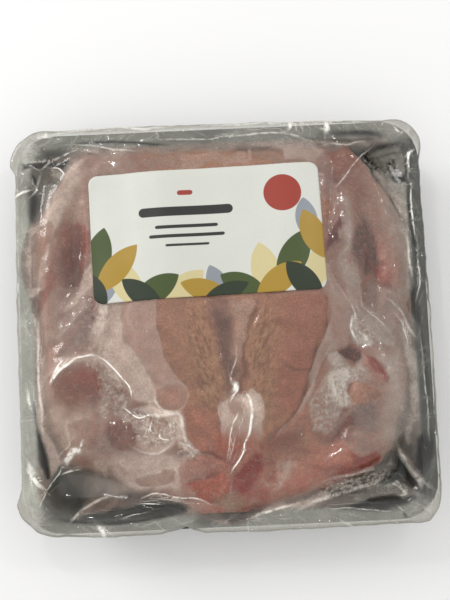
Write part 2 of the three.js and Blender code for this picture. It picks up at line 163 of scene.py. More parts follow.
# The shapes from here to the dark lines are noted as they appear in the photograph, in its pixels.
# Colour, strength, soft edge and outline of the zones of the flesh, with painted shade in its hollows and at
# the pits
FLESH_PATCHES = [
    # Neck end
    ("mauve", 0.55, 5, [(84, 150), (143, 152), (150, 174), (92, 178)]),
    ("beige", 0.8, 1.2, [(143, 153), (176, 152), (180, 168), (150, 171), (142, 163)]),
    ("pale", 0.7, 1.2, [(179, 153), (224, 151), (237, 150), (238, 158), (226, 163), (180, 168)]),
    ("pale", 0.8, 1.2, [(234, 150), (248, 150), (248, 160), (236, 162)]),
    ("grey", 0.6, 4, [
        (226, 140), (270, 134), (300, 138), (320, 150), (318, 164), (284, 160), (282, 149), (262, 147),
        (248, 150),
    ]),
    ("beige", 0.8, 1.2, [(251, 150), (268, 147), (282, 149), (284, 161), (264, 161), (252, 158)]),
    ("mauve", 0.7, 4, [(314, 148), (336, 148), (334, 190), (322, 196), (316, 170)]),
    ("rust", 0.8, 3, [(328, 150), (346, 145), (362, 153), (357, 166), (346, 176), (338, 186), (330, 180)]),
    ("red", 0.5, 4, [(346, 178), (364, 168), (370, 192), (360, 202), (350, 198)]),
    # Left wing, with painted shade in its hollow
    ("pale", 0.6, 4, [(64, 158), (82, 158), (80, 186), (66, 190)]),
    ("red", 0.5, 4, [(78, 156), (98, 158), (94, 172), (84, 178), (76, 170)]),
    ("rust", 0.4, 3, [(62, 190), (70, 186), (70, 200), (62, 204)]),
    ("pale", 0.8, 4, [
        (28, 226), (36, 216), (44, 204), (52, 196), (58, 204), (48, 216), (42, 232), (34, 246), (28, 250),
    ]),
    ("tan", 0.85, 3, [
        (36, 232), (50, 219), (55, 226), (48, 244), (44, 262), (40, 288), (30, 290), (28, 262), (32, 244),
    ]),
    ("pale", 0.7, 4, [(62, 204), (80, 196), (90, 206), (86, 218), (74, 224), (62, 222)]),
    ("rust", 0.85, 4, [
        (56, 224), (66, 222), (62, 246), (54, 262), (50, 278), (44, 286), (44, 268), (50, 246),
    ]),
    ("red", 0.8, 3, [(57, 233), (66, 226), (78, 226), (82, 240), (72, 246), (61, 244)]),
    ("purple", 1, 5, [
        (62, 250), (74, 240), (86, 248), (89, 264), (83, 282), (72, 292), (62, 286), (57, 268),
    ]),
    ("red", 0.55, 5, [(60, 240), (84, 236), (88, 262), (76, 284), (60, 276)]),
    ("blood", 0.6, 2.5, [(73, 225), (80, 221), (89, 234), (90, 250), (86, 256), (79, 246)]),
    ("red", 0.85, 2, [(45, 276), (54, 274), (53, 290), (48, 301), (44, 292)]),
    ("red", 0.6, 3, [(30, 296), (44, 290), (46, 304), (38, 325), (33, 316)]),
    # Between the left wing and the knee, with painted shade in the hollow there
    ("mauve", 0.7, 6, [(56, 294), (92, 284), (100, 298), (88, 316), (66, 334), (54, 334)]),
    ("brown", 0.4, 6, [(60, 320), (88, 312), (96, 330), (86, 346), (62, 348)]),
    ("purple", 0.85, 3, [(90, 304), (96, 312), (93, 330), (85, 344), (68, 352), (60, 350), (74, 334)]),
    ("pink", 0.8, 2.5, [(92, 302), (112, 296), (108, 316), (98, 330), (92, 320)]),
    ("cream", 0.6, 2, [(102, 304), (110, 302), (106, 314), (100, 314)]),
    ("rose", 0.8, 3, [
        (120, 300), (158, 298), (158, 330), (166, 360), (184, 388), (160, 390), (140, 366), (126, 340),
        (121, 320),
    ]),
    ("tan", 0.45, 6, [(158, 300), (200, 298), (204, 340), (206, 388), (184, 386), (166, 360), (158, 330)]),
    # Left leg
    ("cream", 0.5, 4, [(34, 310), (46, 306), (46, 350), (44, 400), (42, 434), (36, 420), (34, 360)]),
    ("rust", 0.9, 5, [
        (50, 384), (60, 372), (72, 364), (88, 362), (98, 372), (101, 390), (96, 408), (84, 404), (70, 406),
        (56, 402),
    ]),
    ("brown", 0.7, 5, [
        (60, 380), (74, 368), (90, 366), (97, 378), (98, 396), (88, 402), (74, 398), (62, 394),
    ]),
    ("red", 0.5, 5, [
        (62, 380), (78, 370), (92, 368), (98, 382), (97, 402), (86, 400), (76, 392), (66, 396),
    ]),
    ("blood", 0.3, 3, [(78, 372), (88, 370), (92, 378), (84, 386), (76, 382)]),
    ("tan", 0.35, 3, [(58, 386), (68, 392), (72, 400), (62, 400)]),
    ("red", 0.5, 3, [(80, 362), (94, 364), (99, 380), (100, 398), (94, 408), (90, 392), (84, 376)]),
    ("purple", 0.55, 3, [(92, 392), (101, 392), (101, 414), (94, 412)]),
    ("straw", 0.95, 4, [(44, 412), (62, 406), (68, 424), (66, 446), (58, 460), (46, 452)]),
    ("rose", 0.7, 6, [(66, 412), (96, 418), (100, 430), (92, 452), (74, 456), (66, 440)]),
    ("brown", 0.85, 3, [
        (98, 430), (110, 420), (126, 421), (138, 434), (136, 448), (124, 456), (108, 460), (96, 450),
    ]),
    ("mauve", 0.6, 5, [(112, 452), (180, 452), (178, 470), (150, 472), (132, 486), (118, 482)]),
    ("brown", 0.7, 3, [(105, 466), (116, 464), (120, 480), (128, 490), (110, 488)]),
    ("shade", 0.8, 5, [
        (64, 466), (76, 474), (88, 488), (96, 500), (118, 506), (150, 506), (186, 512), (186, 526),
        (40, 526), (36, 500),
    ]),
    ("brown", 0.6, 5, [(84, 474), (102, 478), (122, 490), (140, 494), (130, 502), (104, 500), (90, 490)]),
    ("tan", 0.9, 1.2, [
        (136, 481), (141, 476), (152, 475), (166, 470), (175, 471), (174, 480), (163, 486), (142, 487),
    ]),
    # Keel, with painted shade along its groove
    ("mauve", 0.7, 3, [
        (205, 298), (230, 298), (232, 330), (238, 360), (242, 386), (232, 400), (222, 398), (222, 370),
        (216, 340),
    ]),
    ("purple", 0.45, 3, [
        (214, 312), (228, 312), (232, 340), (234, 362), (230, 384), (222, 384), (222, 350),
    ]),
    ("pale", 0.7, 4, [(231, 296), (256, 296), (257, 306), (250, 326), (243, 352), (238, 366), (233, 340)]),
    ("brown", 0.75, 1.5, [
        (257, 300), (260, 308), (252, 328), (247, 350), (247, 390), (241, 392), (241, 362), (244, 344),
        (250, 322),
    ]),
    # Breast
    ("straw", 0.75, 5, [
        (190, 298), (206, 298), (214, 330), (220, 360), (223, 400), (222, 430), (206, 430), (196, 390),
        (188, 350),
    ]),
    ("straw", 0.75, 4, [
        (256, 306), (270, 300), (276, 330), (274, 360), (272, 400), (264, 440), (256, 440), (250, 400),
        (248, 350), (252, 322),
    ]),
    ("red", 0.24, 7, [(278, 352), (312, 350), (312, 376), (304, 394), (290, 412), (276, 404)]),
    ("rust", 0.12, 7, [(284, 298), (326, 298), (326, 322), (300, 330), (284, 322)]),
    ("rose", 0.8, 2, [
        (157, 398), (158, 388), (168, 384), (178, 384), (185, 390), (186, 400), (180, 408), (168, 409),
        (160, 406),
    ]),
    ("pinkish", 0.8, 5, [(184, 410), (222, 410), (226, 452), (210, 462), (190, 448)]),
    ("salmon", 0.75, 4, [(220, 424), (260, 428), (254, 450), (240, 464), (226, 470), (220, 452)]),
    # Vent and tail
    ("pinkish", 0.9, 3, [
        (172, 464), (196, 448), (230, 458), (262, 440), (300, 450), (330, 446), (334, 486), (296, 502),
        (256, 516), (212, 500), (184, 498),
    ]),
    ("salmon", 0.85, 1.2, [
        (185, 483), (196, 477), (205, 476), (214, 470), (224, 470), (231, 476), (229, 500), (222, 506),
        (212, 508), (200, 502), (196, 494),
    ]),
    ("salmon", 0.7, 3, [
        (284, 462), (312, 458), (326, 464), (322, 480), (306, 490), (284, 494), (276, 486),
    ]),
    ("mauve", 0.4, 3, [(266, 456), (276, 452), (282, 460), (279, 474), (272, 480), (266, 472)]),
    ("pale", 0.8, 1.5, [(276, 462), (294, 460), (290, 474), (280, 490), (275, 488), (280, 472)]),
    ("blood", 0.95, 2.5, [
        (229, 492), (236, 480), (246, 468), (257, 457), (263, 460), (262, 470), (254, 481), (245, 493),
        (236, 499),
    ]),
    ("salmon", 0.7, 4, [(240, 492), (266, 486), (272, 500), (262, 514), (238, 520), (232, 508)]),
    ("red", 0.5, 4, [(246, 492), (262, 480), (268, 492), (258, 506), (244, 510)]),
    ("olive", 0.8, 2.5, [(214, 500), (238, 492), (244, 500), (240, 512), (222, 514), (212, 510)]),
    ("pale", 0.8, 0.8, [(221, 520), (227, 517), (231, 519), (230, 524), (223, 526)]),
    ("blood", 0.8, 1.2, [(204, 523), (214, 520), (226, 524), (220, 528), (206, 527)]),
    ("salmon", 0.9, 3, [(184, 504), (206, 502), (222, 508), (228, 520), (212, 530), (188, 526)]),
    # Right leg
    ("rust", 0.8, 4, [(266, 440), (288, 428), (300, 436), (288, 448), (272, 456)]),
    ("brown", 0.5, 3, [(262, 446), (292, 430), (306, 424), (306, 436), (284, 450), (266, 462)]),
    ("rust", 0.7, 4, [(318, 426), (338, 420), (352, 430), (362, 440), (350, 452), (330, 452), (316, 440)]),
    ("brown", 1, 3, [
        (326, 438), (338, 428), (346, 420), (351, 408), (358, 424), (352, 438), (338, 448), (328, 452),
    ]),
    ("salmon", 0.8, 2.5, [
        (318, 452), (340, 440), (352, 450), (362, 458), (380, 452), (386, 458), (380, 466), (360, 470),
        (334, 476), (318, 474),
    ]),
    ("red", 0.8, 1.5, [
        (350, 452), (360, 458), (378, 452), (380, 460), (368, 468), (348, 471), (326, 476), (334, 468),
        (352, 462),
    ]),
    ("red", 0.75, 1.2, [(330, 484), (338, 480), (350, 484), (354, 488), (344, 490), (332, 491)]),
    ("mauve", 0.9, 5, [(346, 414), (366, 398), (382, 400), (380, 424), (366, 434), (352, 434)]),
    ("purple", 0.75, 5, [(354, 406), (370, 401), (380, 411), (372, 427), (354, 426)]),
    ("pale", 0.5, 8, [(384, 392), (404, 392), (408, 430), (394, 448), (376, 446), (378, 424)]),
    ("straw", 0.45, 6, [
        (262, 444), (300, 436), (344, 444), (346, 456), (318, 470), (284, 474), (268, 462),
    ]),
    ("red", 0.28, 6, [(262, 440), (284, 430), (300, 436), (296, 450), (278, 458), (262, 456)]),
    ("shade", 1, 4, [
        (262, 534), (300, 510), (340, 497), (376, 484), (396, 461), (412, 446), (436, 446), (436, 530),
    ]),
    ("tan", 0.95, 0.9, [
        (346, 391), (349, 384), (357, 380), (366, 382), (374, 386), (382, 391), (384, 396), (378, 400),
        (368, 401), (360, 405), (352, 402),
    ]),
    ("mauve", 0.7, 1.6, [(370, 392), (382, 390), (384, 397), (376, 401), (368, 402)]),
    ("pink", 0.7, 4, [(362, 350), (376, 358), (390, 372), (388, 384), (372, 378), (362, 366)]),
    ("red", 1, 2, [(366, 354), (374, 357), (382, 366), (388, 376), (384, 378), (376, 368), (368, 362)]),
    # Painted shade in the hollow by the right knee
    ("hollow", 1, 1, [
        (336, 350), (344, 347), (350, 342), (356, 346), (362, 350), (361, 358), (352, 366), (345, 359),
    ]),
    ("grey", 0.7, 6, [(338, 330), (352, 326), (372, 336), (372, 350), (356, 340), (338, 344)]),
    ("beige", 0.6, 6, [(378, 330), (404, 334), (404, 390), (392, 384), (384, 350)]),
    # Right wing, with painted shade in its hollow
    ("salmon", 0.4, 4, [(330, 280), (352, 296), (354, 330), (346, 342), (334, 340), (328, 310)]),
    ("rust", 0.6, 2, [(346, 306), (352, 306), (354, 336), (348, 338)]),
    ("beige", 0.6, 5, [(326, 258), (346, 262), (356, 288), (350, 300), (336, 282), (326, 276)]),
    ("brown", 0.45, 3, [(312, 352), (322, 348), (326, 362), (318, 384), (308, 396), (306, 384)]),
    ("grey", 0.8, 5, [(358, 282), (384, 284), (404, 296), (408, 330), (396, 345), (374, 338), (360, 310)]),
    ("mauve", 0.7, 5, [(362, 288), (386, 286), (396, 304), (386, 320), (366, 314)]),
    ("rust", 0.6, 4, [(374, 254), (384, 262), (394, 276), (396, 290), (384, 290), (372, 276)]),
    ("red", 0.5, 4, [(368, 222), (376, 230), (386, 250), (392, 270), (388, 282), (380, 270), (374, 248)]),
    ("red", 0.75, 2.5, [(376, 262), (386, 266), (392, 276), (390, 288), (384, 286), (376, 276)]),
    ("pinkish", 0.5, 6, [(366, 232), (384, 236), (402, 262), (402, 286), (390, 280), (378, 256)]),
    ("purple", 0.8, 4, [
        (355, 230), (362, 220), (370, 228), (376, 246), (379, 262), (374, 274), (362, 274), (353, 256),
    ]),
    ("hollow", 0.7, 2.5, [(353, 238), (360, 226), (363, 236), (359, 250), (353, 252)]),
    ("wine", 0.9, 1, [(323, 243), (331, 229), (341, 214), (342, 226), (338, 240), (330, 245), (324, 254)]),
    ("pale", 0.8, 0.8, [(334, 231), (339, 231), (339, 238), (335, 238)]),
    ("tan", 0.7, 1.5, [(322, 200), (330, 200), (334, 208), (328, 224), (323, 228)]),
]
# Colour, strength, half width and course of its lines
FLESH_LINES = [
    ("blood", 0.5, 1.2, [(67, 200), (66, 208)]),
    ("wine", 0.8, 1.6, [(75, 222), (80, 234), (80, 250)]),
    ("wine", 0.6, 1.2, [(84, 228), (86, 240)]),
    ("blood", 0.7, 1.3, [(67, 257), (69, 259)]),
    ("blood", 0.8, 1.8, [(47, 280), (46, 296)]),
    ("red", 0.7, 1.6, [(38, 296), (36, 310)]),
    ("rust", 0.6, 1.6, [(45, 316), (44, 345), (45, 375)]),
    ("rust", 0.5, 1.4, [(39, 320), (38, 350)]),
    ("blood", 0.5, 2, [(92, 366), (97, 378), (98, 398)]),
    ("brown", 0.6, 1.4, [(72, 392), (80, 396)]),
    ("brown", 0.5, 1.2, [(86, 410), (88, 430), (82, 446)]),
    ("rust", 0.5, 2, [(60, 424), (60, 446)]),
    ("brown", 0.7, 1, [
        (328, 298), (328, 324), (322, 339), (313, 358), (311, 372), (306, 388), (300, 406), (287, 425),
        (266, 443),
    ]),
    ("brown", 0.75, 0.8, [(280, 359), (290, 366), (300, 369), (311, 369)]),
    ("brown", 0.2, 0.8, [(158, 350), (168, 354), (176, 352)]),
    ("brown", 0.2, 0.8, [(166, 384), (180, 382), (190, 380)]),
    ("rust", 0.4, 1.4, [(282, 378), (296, 376)]),
    ("rust", 0.35, 1.2, [(262, 298), (268, 340), (264, 390)]),
    ("blood", 0.75, 1.2, [(206, 448), (216, 456), (226, 458), (234, 458)]),
    ("brown", 0.75, 1, [(178, 462), (184, 456), (196, 454), (210, 454), (224, 460)]),
    ("blood", 0.7, 1, [(172, 478), (178, 474), (176, 482), (166, 489), (150, 491)]),
    ("brown", 0.8, 1, [(226, 452), (230, 462), (234, 464)]),
    ("brown", 0.8, 1, [(258, 444), (264, 450), (260, 446)]),
    ("brown", 0.8, 0.9, [(250, 460), (253, 466)]),
    ("red", 0.8, 2.4, [(236, 490), (248, 476), (258, 462)]),
    ("blood", 0.8, 1, [(234, 486), (243, 474), (254, 463)]),
    ("red", 0.7, 1.4, [(262, 484), (272, 478), (284, 480)]),
    ("red", 0.6, 1.2, [(286, 456), (298, 450), (312, 452), (322, 446)]),
    ("red", 0.7, 1.2, [(300, 470), (314, 466), (326, 470), (334, 466)]),
    ("pale", 0.6, 1.4, [(246, 506), (256, 500), (264, 504)]),
    ("red", 0.6, 1.2, [(190, 458), (204, 462), (212, 458)]),
    ("red", 0.7, 1.4, [(228, 466), (240, 458), (250, 450)]),
    ("pale", 0.7, 1, [(262, 480), (268, 486), (276, 484)]),
    ("brown", 0.6, 1.4, [(184, 486), (200, 478), (214, 474), (226, 470)]),
    ("brown", 0.8, 1.2, [(348, 412), (352, 420), (350, 430), (340, 434), (330, 438)]),
    ("red", 0.9, 1.2, [(350, 450), (356, 456), (362, 458), (372, 453), (379, 451), (380, 458)]),
    ("red", 0.7, 1.2, [(322, 478), (340, 474), (356, 470), (368, 466)]),
    ("blood", 0.9, 1.4, [(367, 356), (374, 359), (378, 365), (385, 374), (389, 381)]),
    ("blood", 0.8, 1.4, [(372, 264), (378, 272), (384, 284)]),
    ("wine", 0.8, 1.4, [(358, 228), (354, 240), (353, 254)]),
    ("wine", 0.8, 1.2, [(335, 168), (338, 180), (344, 186)]),
    ("red", 0.7, 1.6, [(356, 182), (366, 196)]),
    ("brown", 0.6, 1.2, [(394, 440), (396, 450), (392, 462)]),
    ("blood", 0.7, 1, [(278, 507), (284, 508)]),
]

# Strength, soft edge and outline of the milky places of the film, of the clear ones and of the bare tray
HAZE_PATCHES = {
    "neck": (0.3, 5, [
        (60, 140), (392, 128), (394, 148), (330, 148), (250, 150), (180, 154), (144, 152), (90, 160),
    ]),
    "neck sheet left": (0.1, 1.6, [
        (80, 152), (104, 148), (134, 150), (144, 158), (143, 164), (134, 170), (92, 176), (80, 168),
    ]),
    "neck gap": (0.34, 1, [(247, 149), (251, 149), (252, 161), (248, 161)]),
    "neck sheet right": (0.36, 1.5, [
        (248, 146), (280, 134), (312, 144), (326, 150), (316, 160), (284, 160), (282, 148), (268, 146),
    ]),
    "corner flap": (0.45, 1.2, [(50, 168), (58, 168), (64, 173), (67, 177), (60, 180), (52, 176)]),
    "shoulder left": (0.58, 4, [
        (44, 196), (60, 176), (74, 160), (84, 158), (80, 182), (70, 204), (58, 222), (50, 240), (40, 240),
    ]),
    "wing stripe": (0.6, 1.3, [
        (57, 212), (62, 214), (56, 232), (50, 250), (46, 266), (42, 284), (39, 298), (37, 288), (40, 268),
        (46, 246), (52, 228),
    ]),
    "wing foot light": (0.3, 3, [
        (88, 254), (96, 246), (97, 290), (84, 306), (62, 342), (48, 342), (52, 302), (66, 298), (82, 288),
    ]),
    "wing wisp a": (0.55, 1.6, [
        (90, 262), (96, 260), (96, 282), (80, 298), (66, 314), (62, 312), (76, 292),
    ]),
    "wing wisp b": (0.42, 1.4, [(84, 302), (88, 304), (74, 322), (60, 338), (56, 336), (68, 320)]),
    "edge left": (0.5, 3, [
        (28, 290), (36, 296), (40, 330), (46, 360), (44, 400), (46, 440), (38, 430), (34, 370), (30, 330),
    ]),
    "wing foot": (0.7, 3, [
        (98, 298), (114, 296), (110, 310), (106, 330), (96, 346), (90, 350), (92, 330), (98, 314),
    ]),
    "left of breast": (0.55, 1.4, [
        (112, 298), (122, 298), (121, 318), (126, 342), (140, 364), (152, 380), (158, 390), (158, 404),
        (150, 404), (134, 398), (126, 384), (112, 366), (96, 354), (98, 332), (110, 312),
    ]),
    "band left": (0.26, 1.2, [
        (121, 298), (157, 298), (157, 326), (164, 356), (180, 380), (186, 386), (170, 384), (156, 392),
        (140, 366), (126, 342), (121, 318),
    ]),
    # Painted highlight: a milky arc where the film over the knee's top catches the light
    "knee arc": (0.6, 2.5, [
        (44, 380), (49, 369), (60, 360), (76, 353), (92, 351), (104, 358), (117, 367), (127, 378),
        (132, 389), (128, 394), (119, 384), (108, 372), (96, 363), (80, 361), (66, 366), (54, 376),
    ]),
    "round patch": (0.2, 2, [
        (160, 400), (160, 390), (168, 386), (178, 386), (184, 392), (184, 400), (178, 406), (168, 407),
    ]),
    "round rim": (0.24, 1, [
        (158, 386), (166, 380), (178, 381), (187, 386), (191, 395), (189, 404), (184, 411), (181, 408),
        (185, 402), (186, 395), (183, 390), (176, 386), (167, 385), (159, 390),
    ]),
    "foam left": (0.48, 2.4, [
        (88, 358), (104, 362), (118, 372), (130, 392), (128, 408), (146, 404), (160, 410), (178, 412),
        (180, 424), (176, 444), (160, 454), (146, 454), (138, 440), (130, 424), (112, 418), (102, 420),
        (100, 400), (96, 384), (92, 368),
    ]),
    "knee smear": (0.22, 3, [(84, 404), (92, 392), (98, 398), (94, 416), (82, 416)]),
    "leg left": (0.34, 5, [
        (44, 404), (66, 402), (90, 414), (98, 428), (90, 446), (100, 456), (118, 462), (120, 470),
        (104, 464), (84, 462), (70, 456), (58, 440),
    ]),
    "shin wisp": (0.5, 1.6, [(60, 420), (68, 418), (76, 430), (82, 452), (78, 458), (70, 440)]),
    "left low sheet": (0.5, 1.5, [
        (44, 434), (50, 436), (58, 452), (62, 464), (56, 476), (51, 480), (47, 460),
    ]),
    "pit wisp": (0.18, 3, [(60, 486), (74, 482), (94, 490), (90, 498), (74, 492), (62, 494)]),
    "pit blob": (0.3, 2, [(58, 508), (66, 504), (72, 510), (66, 518), (60, 516)]),
    "low left": (0.46, 5, [
        (106, 460), (134, 452), (176, 452), (188, 462), (180, 490), (150, 496), (128, 488), (110, 474),
    ]),
    "over the pit": (0.34, 5, [(80, 470), (104, 476), (124, 490), (116, 500), (100, 502), (88, 494)]),
    "low left blob": (0.5, 2.5, [(92, 458), (104, 458), (108, 466), (104, 478), (94, 470)]),
    "ridge left": (0.6, 1.8, [
        (140, 408), (150, 402), (166, 410), (178, 412), (184, 420), (182, 430), (190, 444), (198, 456),
        (204, 460), (192, 458), (182, 446), (174, 430), (170, 420), (158, 416),
    ]),
    "dots left": (0.4, 3, [(178, 434), (190, 440), (204, 456), (190, 460), (180, 456)]),
    "blister": (0.5, 0.9, [
        (219, 446), (219, 404), (224, 400), (229, 399), (234, 393), (238, 391), (244, 392), (248, 390),
        (251, 387), (255, 389), (260, 394), (263, 401), (265, 409), (264, 420), (262, 430), (258, 446),
    ]),
    "blister light": (0.66, 2.2, [
        (238, 396), (249, 391), (259, 396), (263, 408), (260, 418), (250, 412), (241, 406),
    ]),
    "blister left": (0.5, 2, [(219, 404), (226, 400), (228, 412), (226, 424), (220, 424)]),
    "fold right": (0.3, 1.2, [
        (320, 262), (330, 262), (340, 284), (350, 300), (352, 330), (346, 344), (338, 346), (326, 352),
        (318, 368), (312, 392), (300, 412), (286, 428), (272, 440), (284, 424), (298, 404), (308, 386),
        (310, 370), (316, 352), (326, 336), (330, 318), (328, 296), (322, 280),
    ]),
    "fold right low": (0.1, 1.2, [
        (322, 358), (332, 346), (338, 348), (330, 362), (322, 378), (310, 398), (302, 410), (308, 394),
        (316, 374),
    ]),
    "sheet right": (0.36, 1.2, [
        (358, 262), (362, 282), (361, 300), (368, 310), (378, 318), (392, 330), (398, 346), (388, 344),
        (378, 340), (364, 330), (356, 338), (349, 330), (352, 312), (348, 298), (346, 280), (340, 262),
    ]),
    "pink right": (0.16, 4, [(332, 280), (344, 290), (352, 306), (350, 330), (338, 336), (330, 312)]),
    "white top right": (0.62, 1.6, [
        (352, 314), (356, 316), (358, 328), (366, 331), (373, 336), (376, 343), (368, 348), (358, 345),
        (353, 338), (351, 326),
    ]),
    "white right": (0.76, 2.4, [
        (328, 372), (338, 368), (350, 370), (358, 376), (348, 380), (345, 388), (350, 396), (352, 403),
        (346, 408), (338, 406), (330, 396), (326, 384),
    ]),
    "foam right": (0.4, 2, [
        (308, 402), (318, 386), (328, 370), (336, 354), (342, 358), (346, 364), (352, 368), (362, 362),
        (370, 366), (372, 380), (360, 380), (348, 384), (350, 400), (342, 414), (338, 424), (326, 434),
        (312, 428),
    ]),
    "diamond rim": (0.5, 1.6, [
        (326, 352), (336, 351), (345, 361), (352, 367), (362, 359), (366, 368), (360, 378), (344, 376),
        (330, 368),
    ]),
    "wing right": (0.34, 7, [
        (376, 176), (392, 190), (404, 220), (410, 262), (410, 300), (398, 292), (398, 262), (388, 230),
        (378, 204),
    ]),
    "wing middle": (0.42, 4, [
        (340, 196), (352, 194), (352, 214), (352, 236), (348, 262), (358, 282), (346, 282), (336, 262),
        (342, 244), (345, 214),
    ]),
    "wing low right": (0.16, 5, [
        (362, 280), (384, 292), (404, 300), (410, 330), (404, 346), (390, 336), (372, 318), (362, 304),
    ]),
    "margin right": (0.5, 3, [
        (372, 172), (392, 168), (408, 180), (412, 220), (414, 262), (412, 300), (406, 290), (404, 250),
        (396, 218), (384, 190),
    ]),
    "knee right": (0.4, 6, [
        (376, 356), (404, 344), (408, 392), (408, 430), (396, 448), (380, 440), (384, 400), (390, 384),
    ]),
    "leg right": (0.12, 6, [(352, 404), (384, 404), (392, 430), (378, 448), (356, 452), (344, 440)]),
    "film edge low right": (0.42, 2, [
        (300, 500), (330, 486), (356, 476), (380, 468), (392, 458), (396, 464), (388, 478), (370, 486),
        (340, 494), (320, 504), (290, 514), (262, 524), (252, 520), (270, 508),
    ]),
    "flap low right": (0.55, 1.4, [
        (352, 500), (362, 488), (374, 482), (386, 480), (398, 480), (406, 486), (410, 494), (402, 499),
        (392, 494), (380, 495), (364, 501),
    ]),
    "low right band": (0.5, 1.5, [
        (398, 446), (404, 454), (414, 466), (426, 478), (438, 486), (438, 496), (425, 493), (424, 486),
        (416, 475), (406, 464), (400, 456),
    ]),
    "corner top right": (0.36, 4, [
        (366, 154), (384, 147), (404, 146), (408, 152), (409, 212), (398, 198), (382, 174),
    ]),
    "wing over the flange": (0.5, 3, [(27, 226), (40, 222), (43, 260), (41, 300), (31, 297), (26, 262)]),
    "vent pale": (0.4, 1.6, [
        (225, 488), (229, 474), (236, 468), (247, 460), (241, 471), (232, 482), (228, 493),
    ]),
    "heel sheet": (0.55, 1.2, [(279, 462), (292, 460), (290, 472), (281, 488), (276, 488), (281, 474)]),
    "tail bubble": (0.18, 1.5, [(188, 508), (206, 504), (218, 512), (220, 524), (200, 529), (188, 520)]),
    "band right": (0.46, 3, [
        (402, 322), (412, 322), (418, 350), (420, 380), (418, 420), (410, 446), (402, 440), (408, 410),
        (408, 380), (404, 350),
    ]),
}
CLEAR_PATCHES = {
    "blister fade": (0.9, 9, [(208, 432), (276, 432), (276, 476), (208, 476)]),
    "blister window": (0.4, 1.6, [(227, 403), (236, 401), (242, 405), (242, 411), (236, 415), (228, 413)]),
    "knee": (0.66, 5, [
        (52, 386), (60, 375), (72, 368), (86, 366), (95, 374), (99, 388), (97, 402), (86, 408), (70, 410),
        (58, 404),
    ]),
    "drumstick left": (0.7, 1.8, [
        (107, 426), (113, 419), (124, 420), (131, 426), (138, 434), (138, 442), (133, 450), (122, 452),
        (112, 446), (106, 435),
    ]),
    "calf right": (0.55, 3, [
        (326, 436), (338, 428), (346, 420), (352, 410), (358, 424), (352, 438), (338, 446), (328, 450),
    ]),
    "streak red": (0.6, 1.6, [(364, 352), (374, 356), (384, 366), (390, 380), (384, 384), (372, 372)]),
    "vent wide": (0.6, 3, [
        (228, 472), (246, 462), (262, 454), (276, 450), (282, 460), (274, 470), (276, 486), (262, 510),
        (240, 516), (231, 494),
    ]),
    "over the low pit": (0.5, 3, [
        (118, 496), (140, 490), (170, 491), (188, 500), (180, 504), (150, 502), (124, 505),
    ]),
    "tail low": (0.5, 3, [(196, 508), (222, 510), (228, 520), (212, 526), (196, 522)]),
}
PIT_PATCHES = {
    "pit top left": (0.55, 2, [
        (36, 156), (42, 149), (58, 148), (76, 150), (64, 155), (52, 159), (38, 160),
    ]),
    "pit top left low": (0.85, 1, [
        (24, 163), (34, 162), (52, 161), (56, 162), (48, 165), (40, 169), (30, 168), (24, 170),
    ]),
    "corner gap": (0.6, 1, [(50, 164), (64, 158), (68, 160), (62, 166), (52, 167), (44, 168)]),
    "corner top left": (0.25, 2.5, [
        (30, 166), (62, 162), (65, 170), (57, 184), (49, 198), (42, 210), (34, 216), (28, 206),
    ]),
    "pit left": (0.6, 2, [(28, 186), (36, 190), (37, 206), (34, 222), (29, 222)]),
    "pit top right": (0.25, 3, [
        (366, 156), (380, 147), (402, 144), (408, 150), (408, 206), (396, 194), (382, 172),
    ]),
    "pit low left": (0.45, 3, [
        (39, 508), (45, 494), (54, 477), (60, 467), (67, 474), (74, 484), (86, 496), (84, 511), (71, 523),
        (54, 521),
    ]),
    "pit low left warm": (0.16, 4, [
        (58, 468), (68, 464), (84, 470), (104, 478), (116, 492), (100, 500), (84, 500), (72, 486),
    ]),
    "pit low left end": (0.74, 1.6, [
        (72, 522), (87, 516), (104, 511), (124, 507), (150, 503), (172, 503), (187, 506), (186, 511),
        (170, 516), (140, 520), (108, 523),
    ]),
    "pit low right upper": (0.6, 1.2, [
        (380, 478), (397, 458), (403, 468), (411, 479), (415, 489), (407, 487), (396, 483), (384, 484),
    ]),
    "pit low right lower": (0.82, 1.2, [
        (338, 508), (356, 503), (370, 498), (384, 495), (394, 495), (404, 499), (414, 496), (418, 500),
        (408, 506), (396, 508), (372, 509),
    ]),
    "flap low right": (0.3, 2, [
        (352, 500), (362, 488), (374, 482), (386, 480), (398, 480), (406, 486), (410, 494), (402, 499),
        (392, 494), (380, 495), (364, 501),
    ]),
    "slit low right": (0.8, 1, [
        (398, 457), (404, 463), (413, 475), (419, 481), (424, 490), (423, 495), (414, 489), (406, 478),
        (399, 468),
    ]),
    "slot right low": (0.94, 2, [(418, 440), (428, 430), (431, 446), (430, 462), (424, 476), (418, 470)]),
    "slot right": (0.85, 1, [(412, 206), (414, 206), (415, 240), (418, 262), (415, 262), (413, 240)]),
    "nick right": (0.8, 1, [(390, 174), (400, 176), (407, 174), (407, 182), (396, 182)]),
    "wedge right": (0.8, 1.2, [(412, 292), (417, 284), (419, 312), (419, 326), (414, 316), (408, 304)]),
    "slot left low": (0.85, 1.2, [(37, 426), (42, 440), (48, 462), (50, 480), (45, 480), (40, 458)]),
}
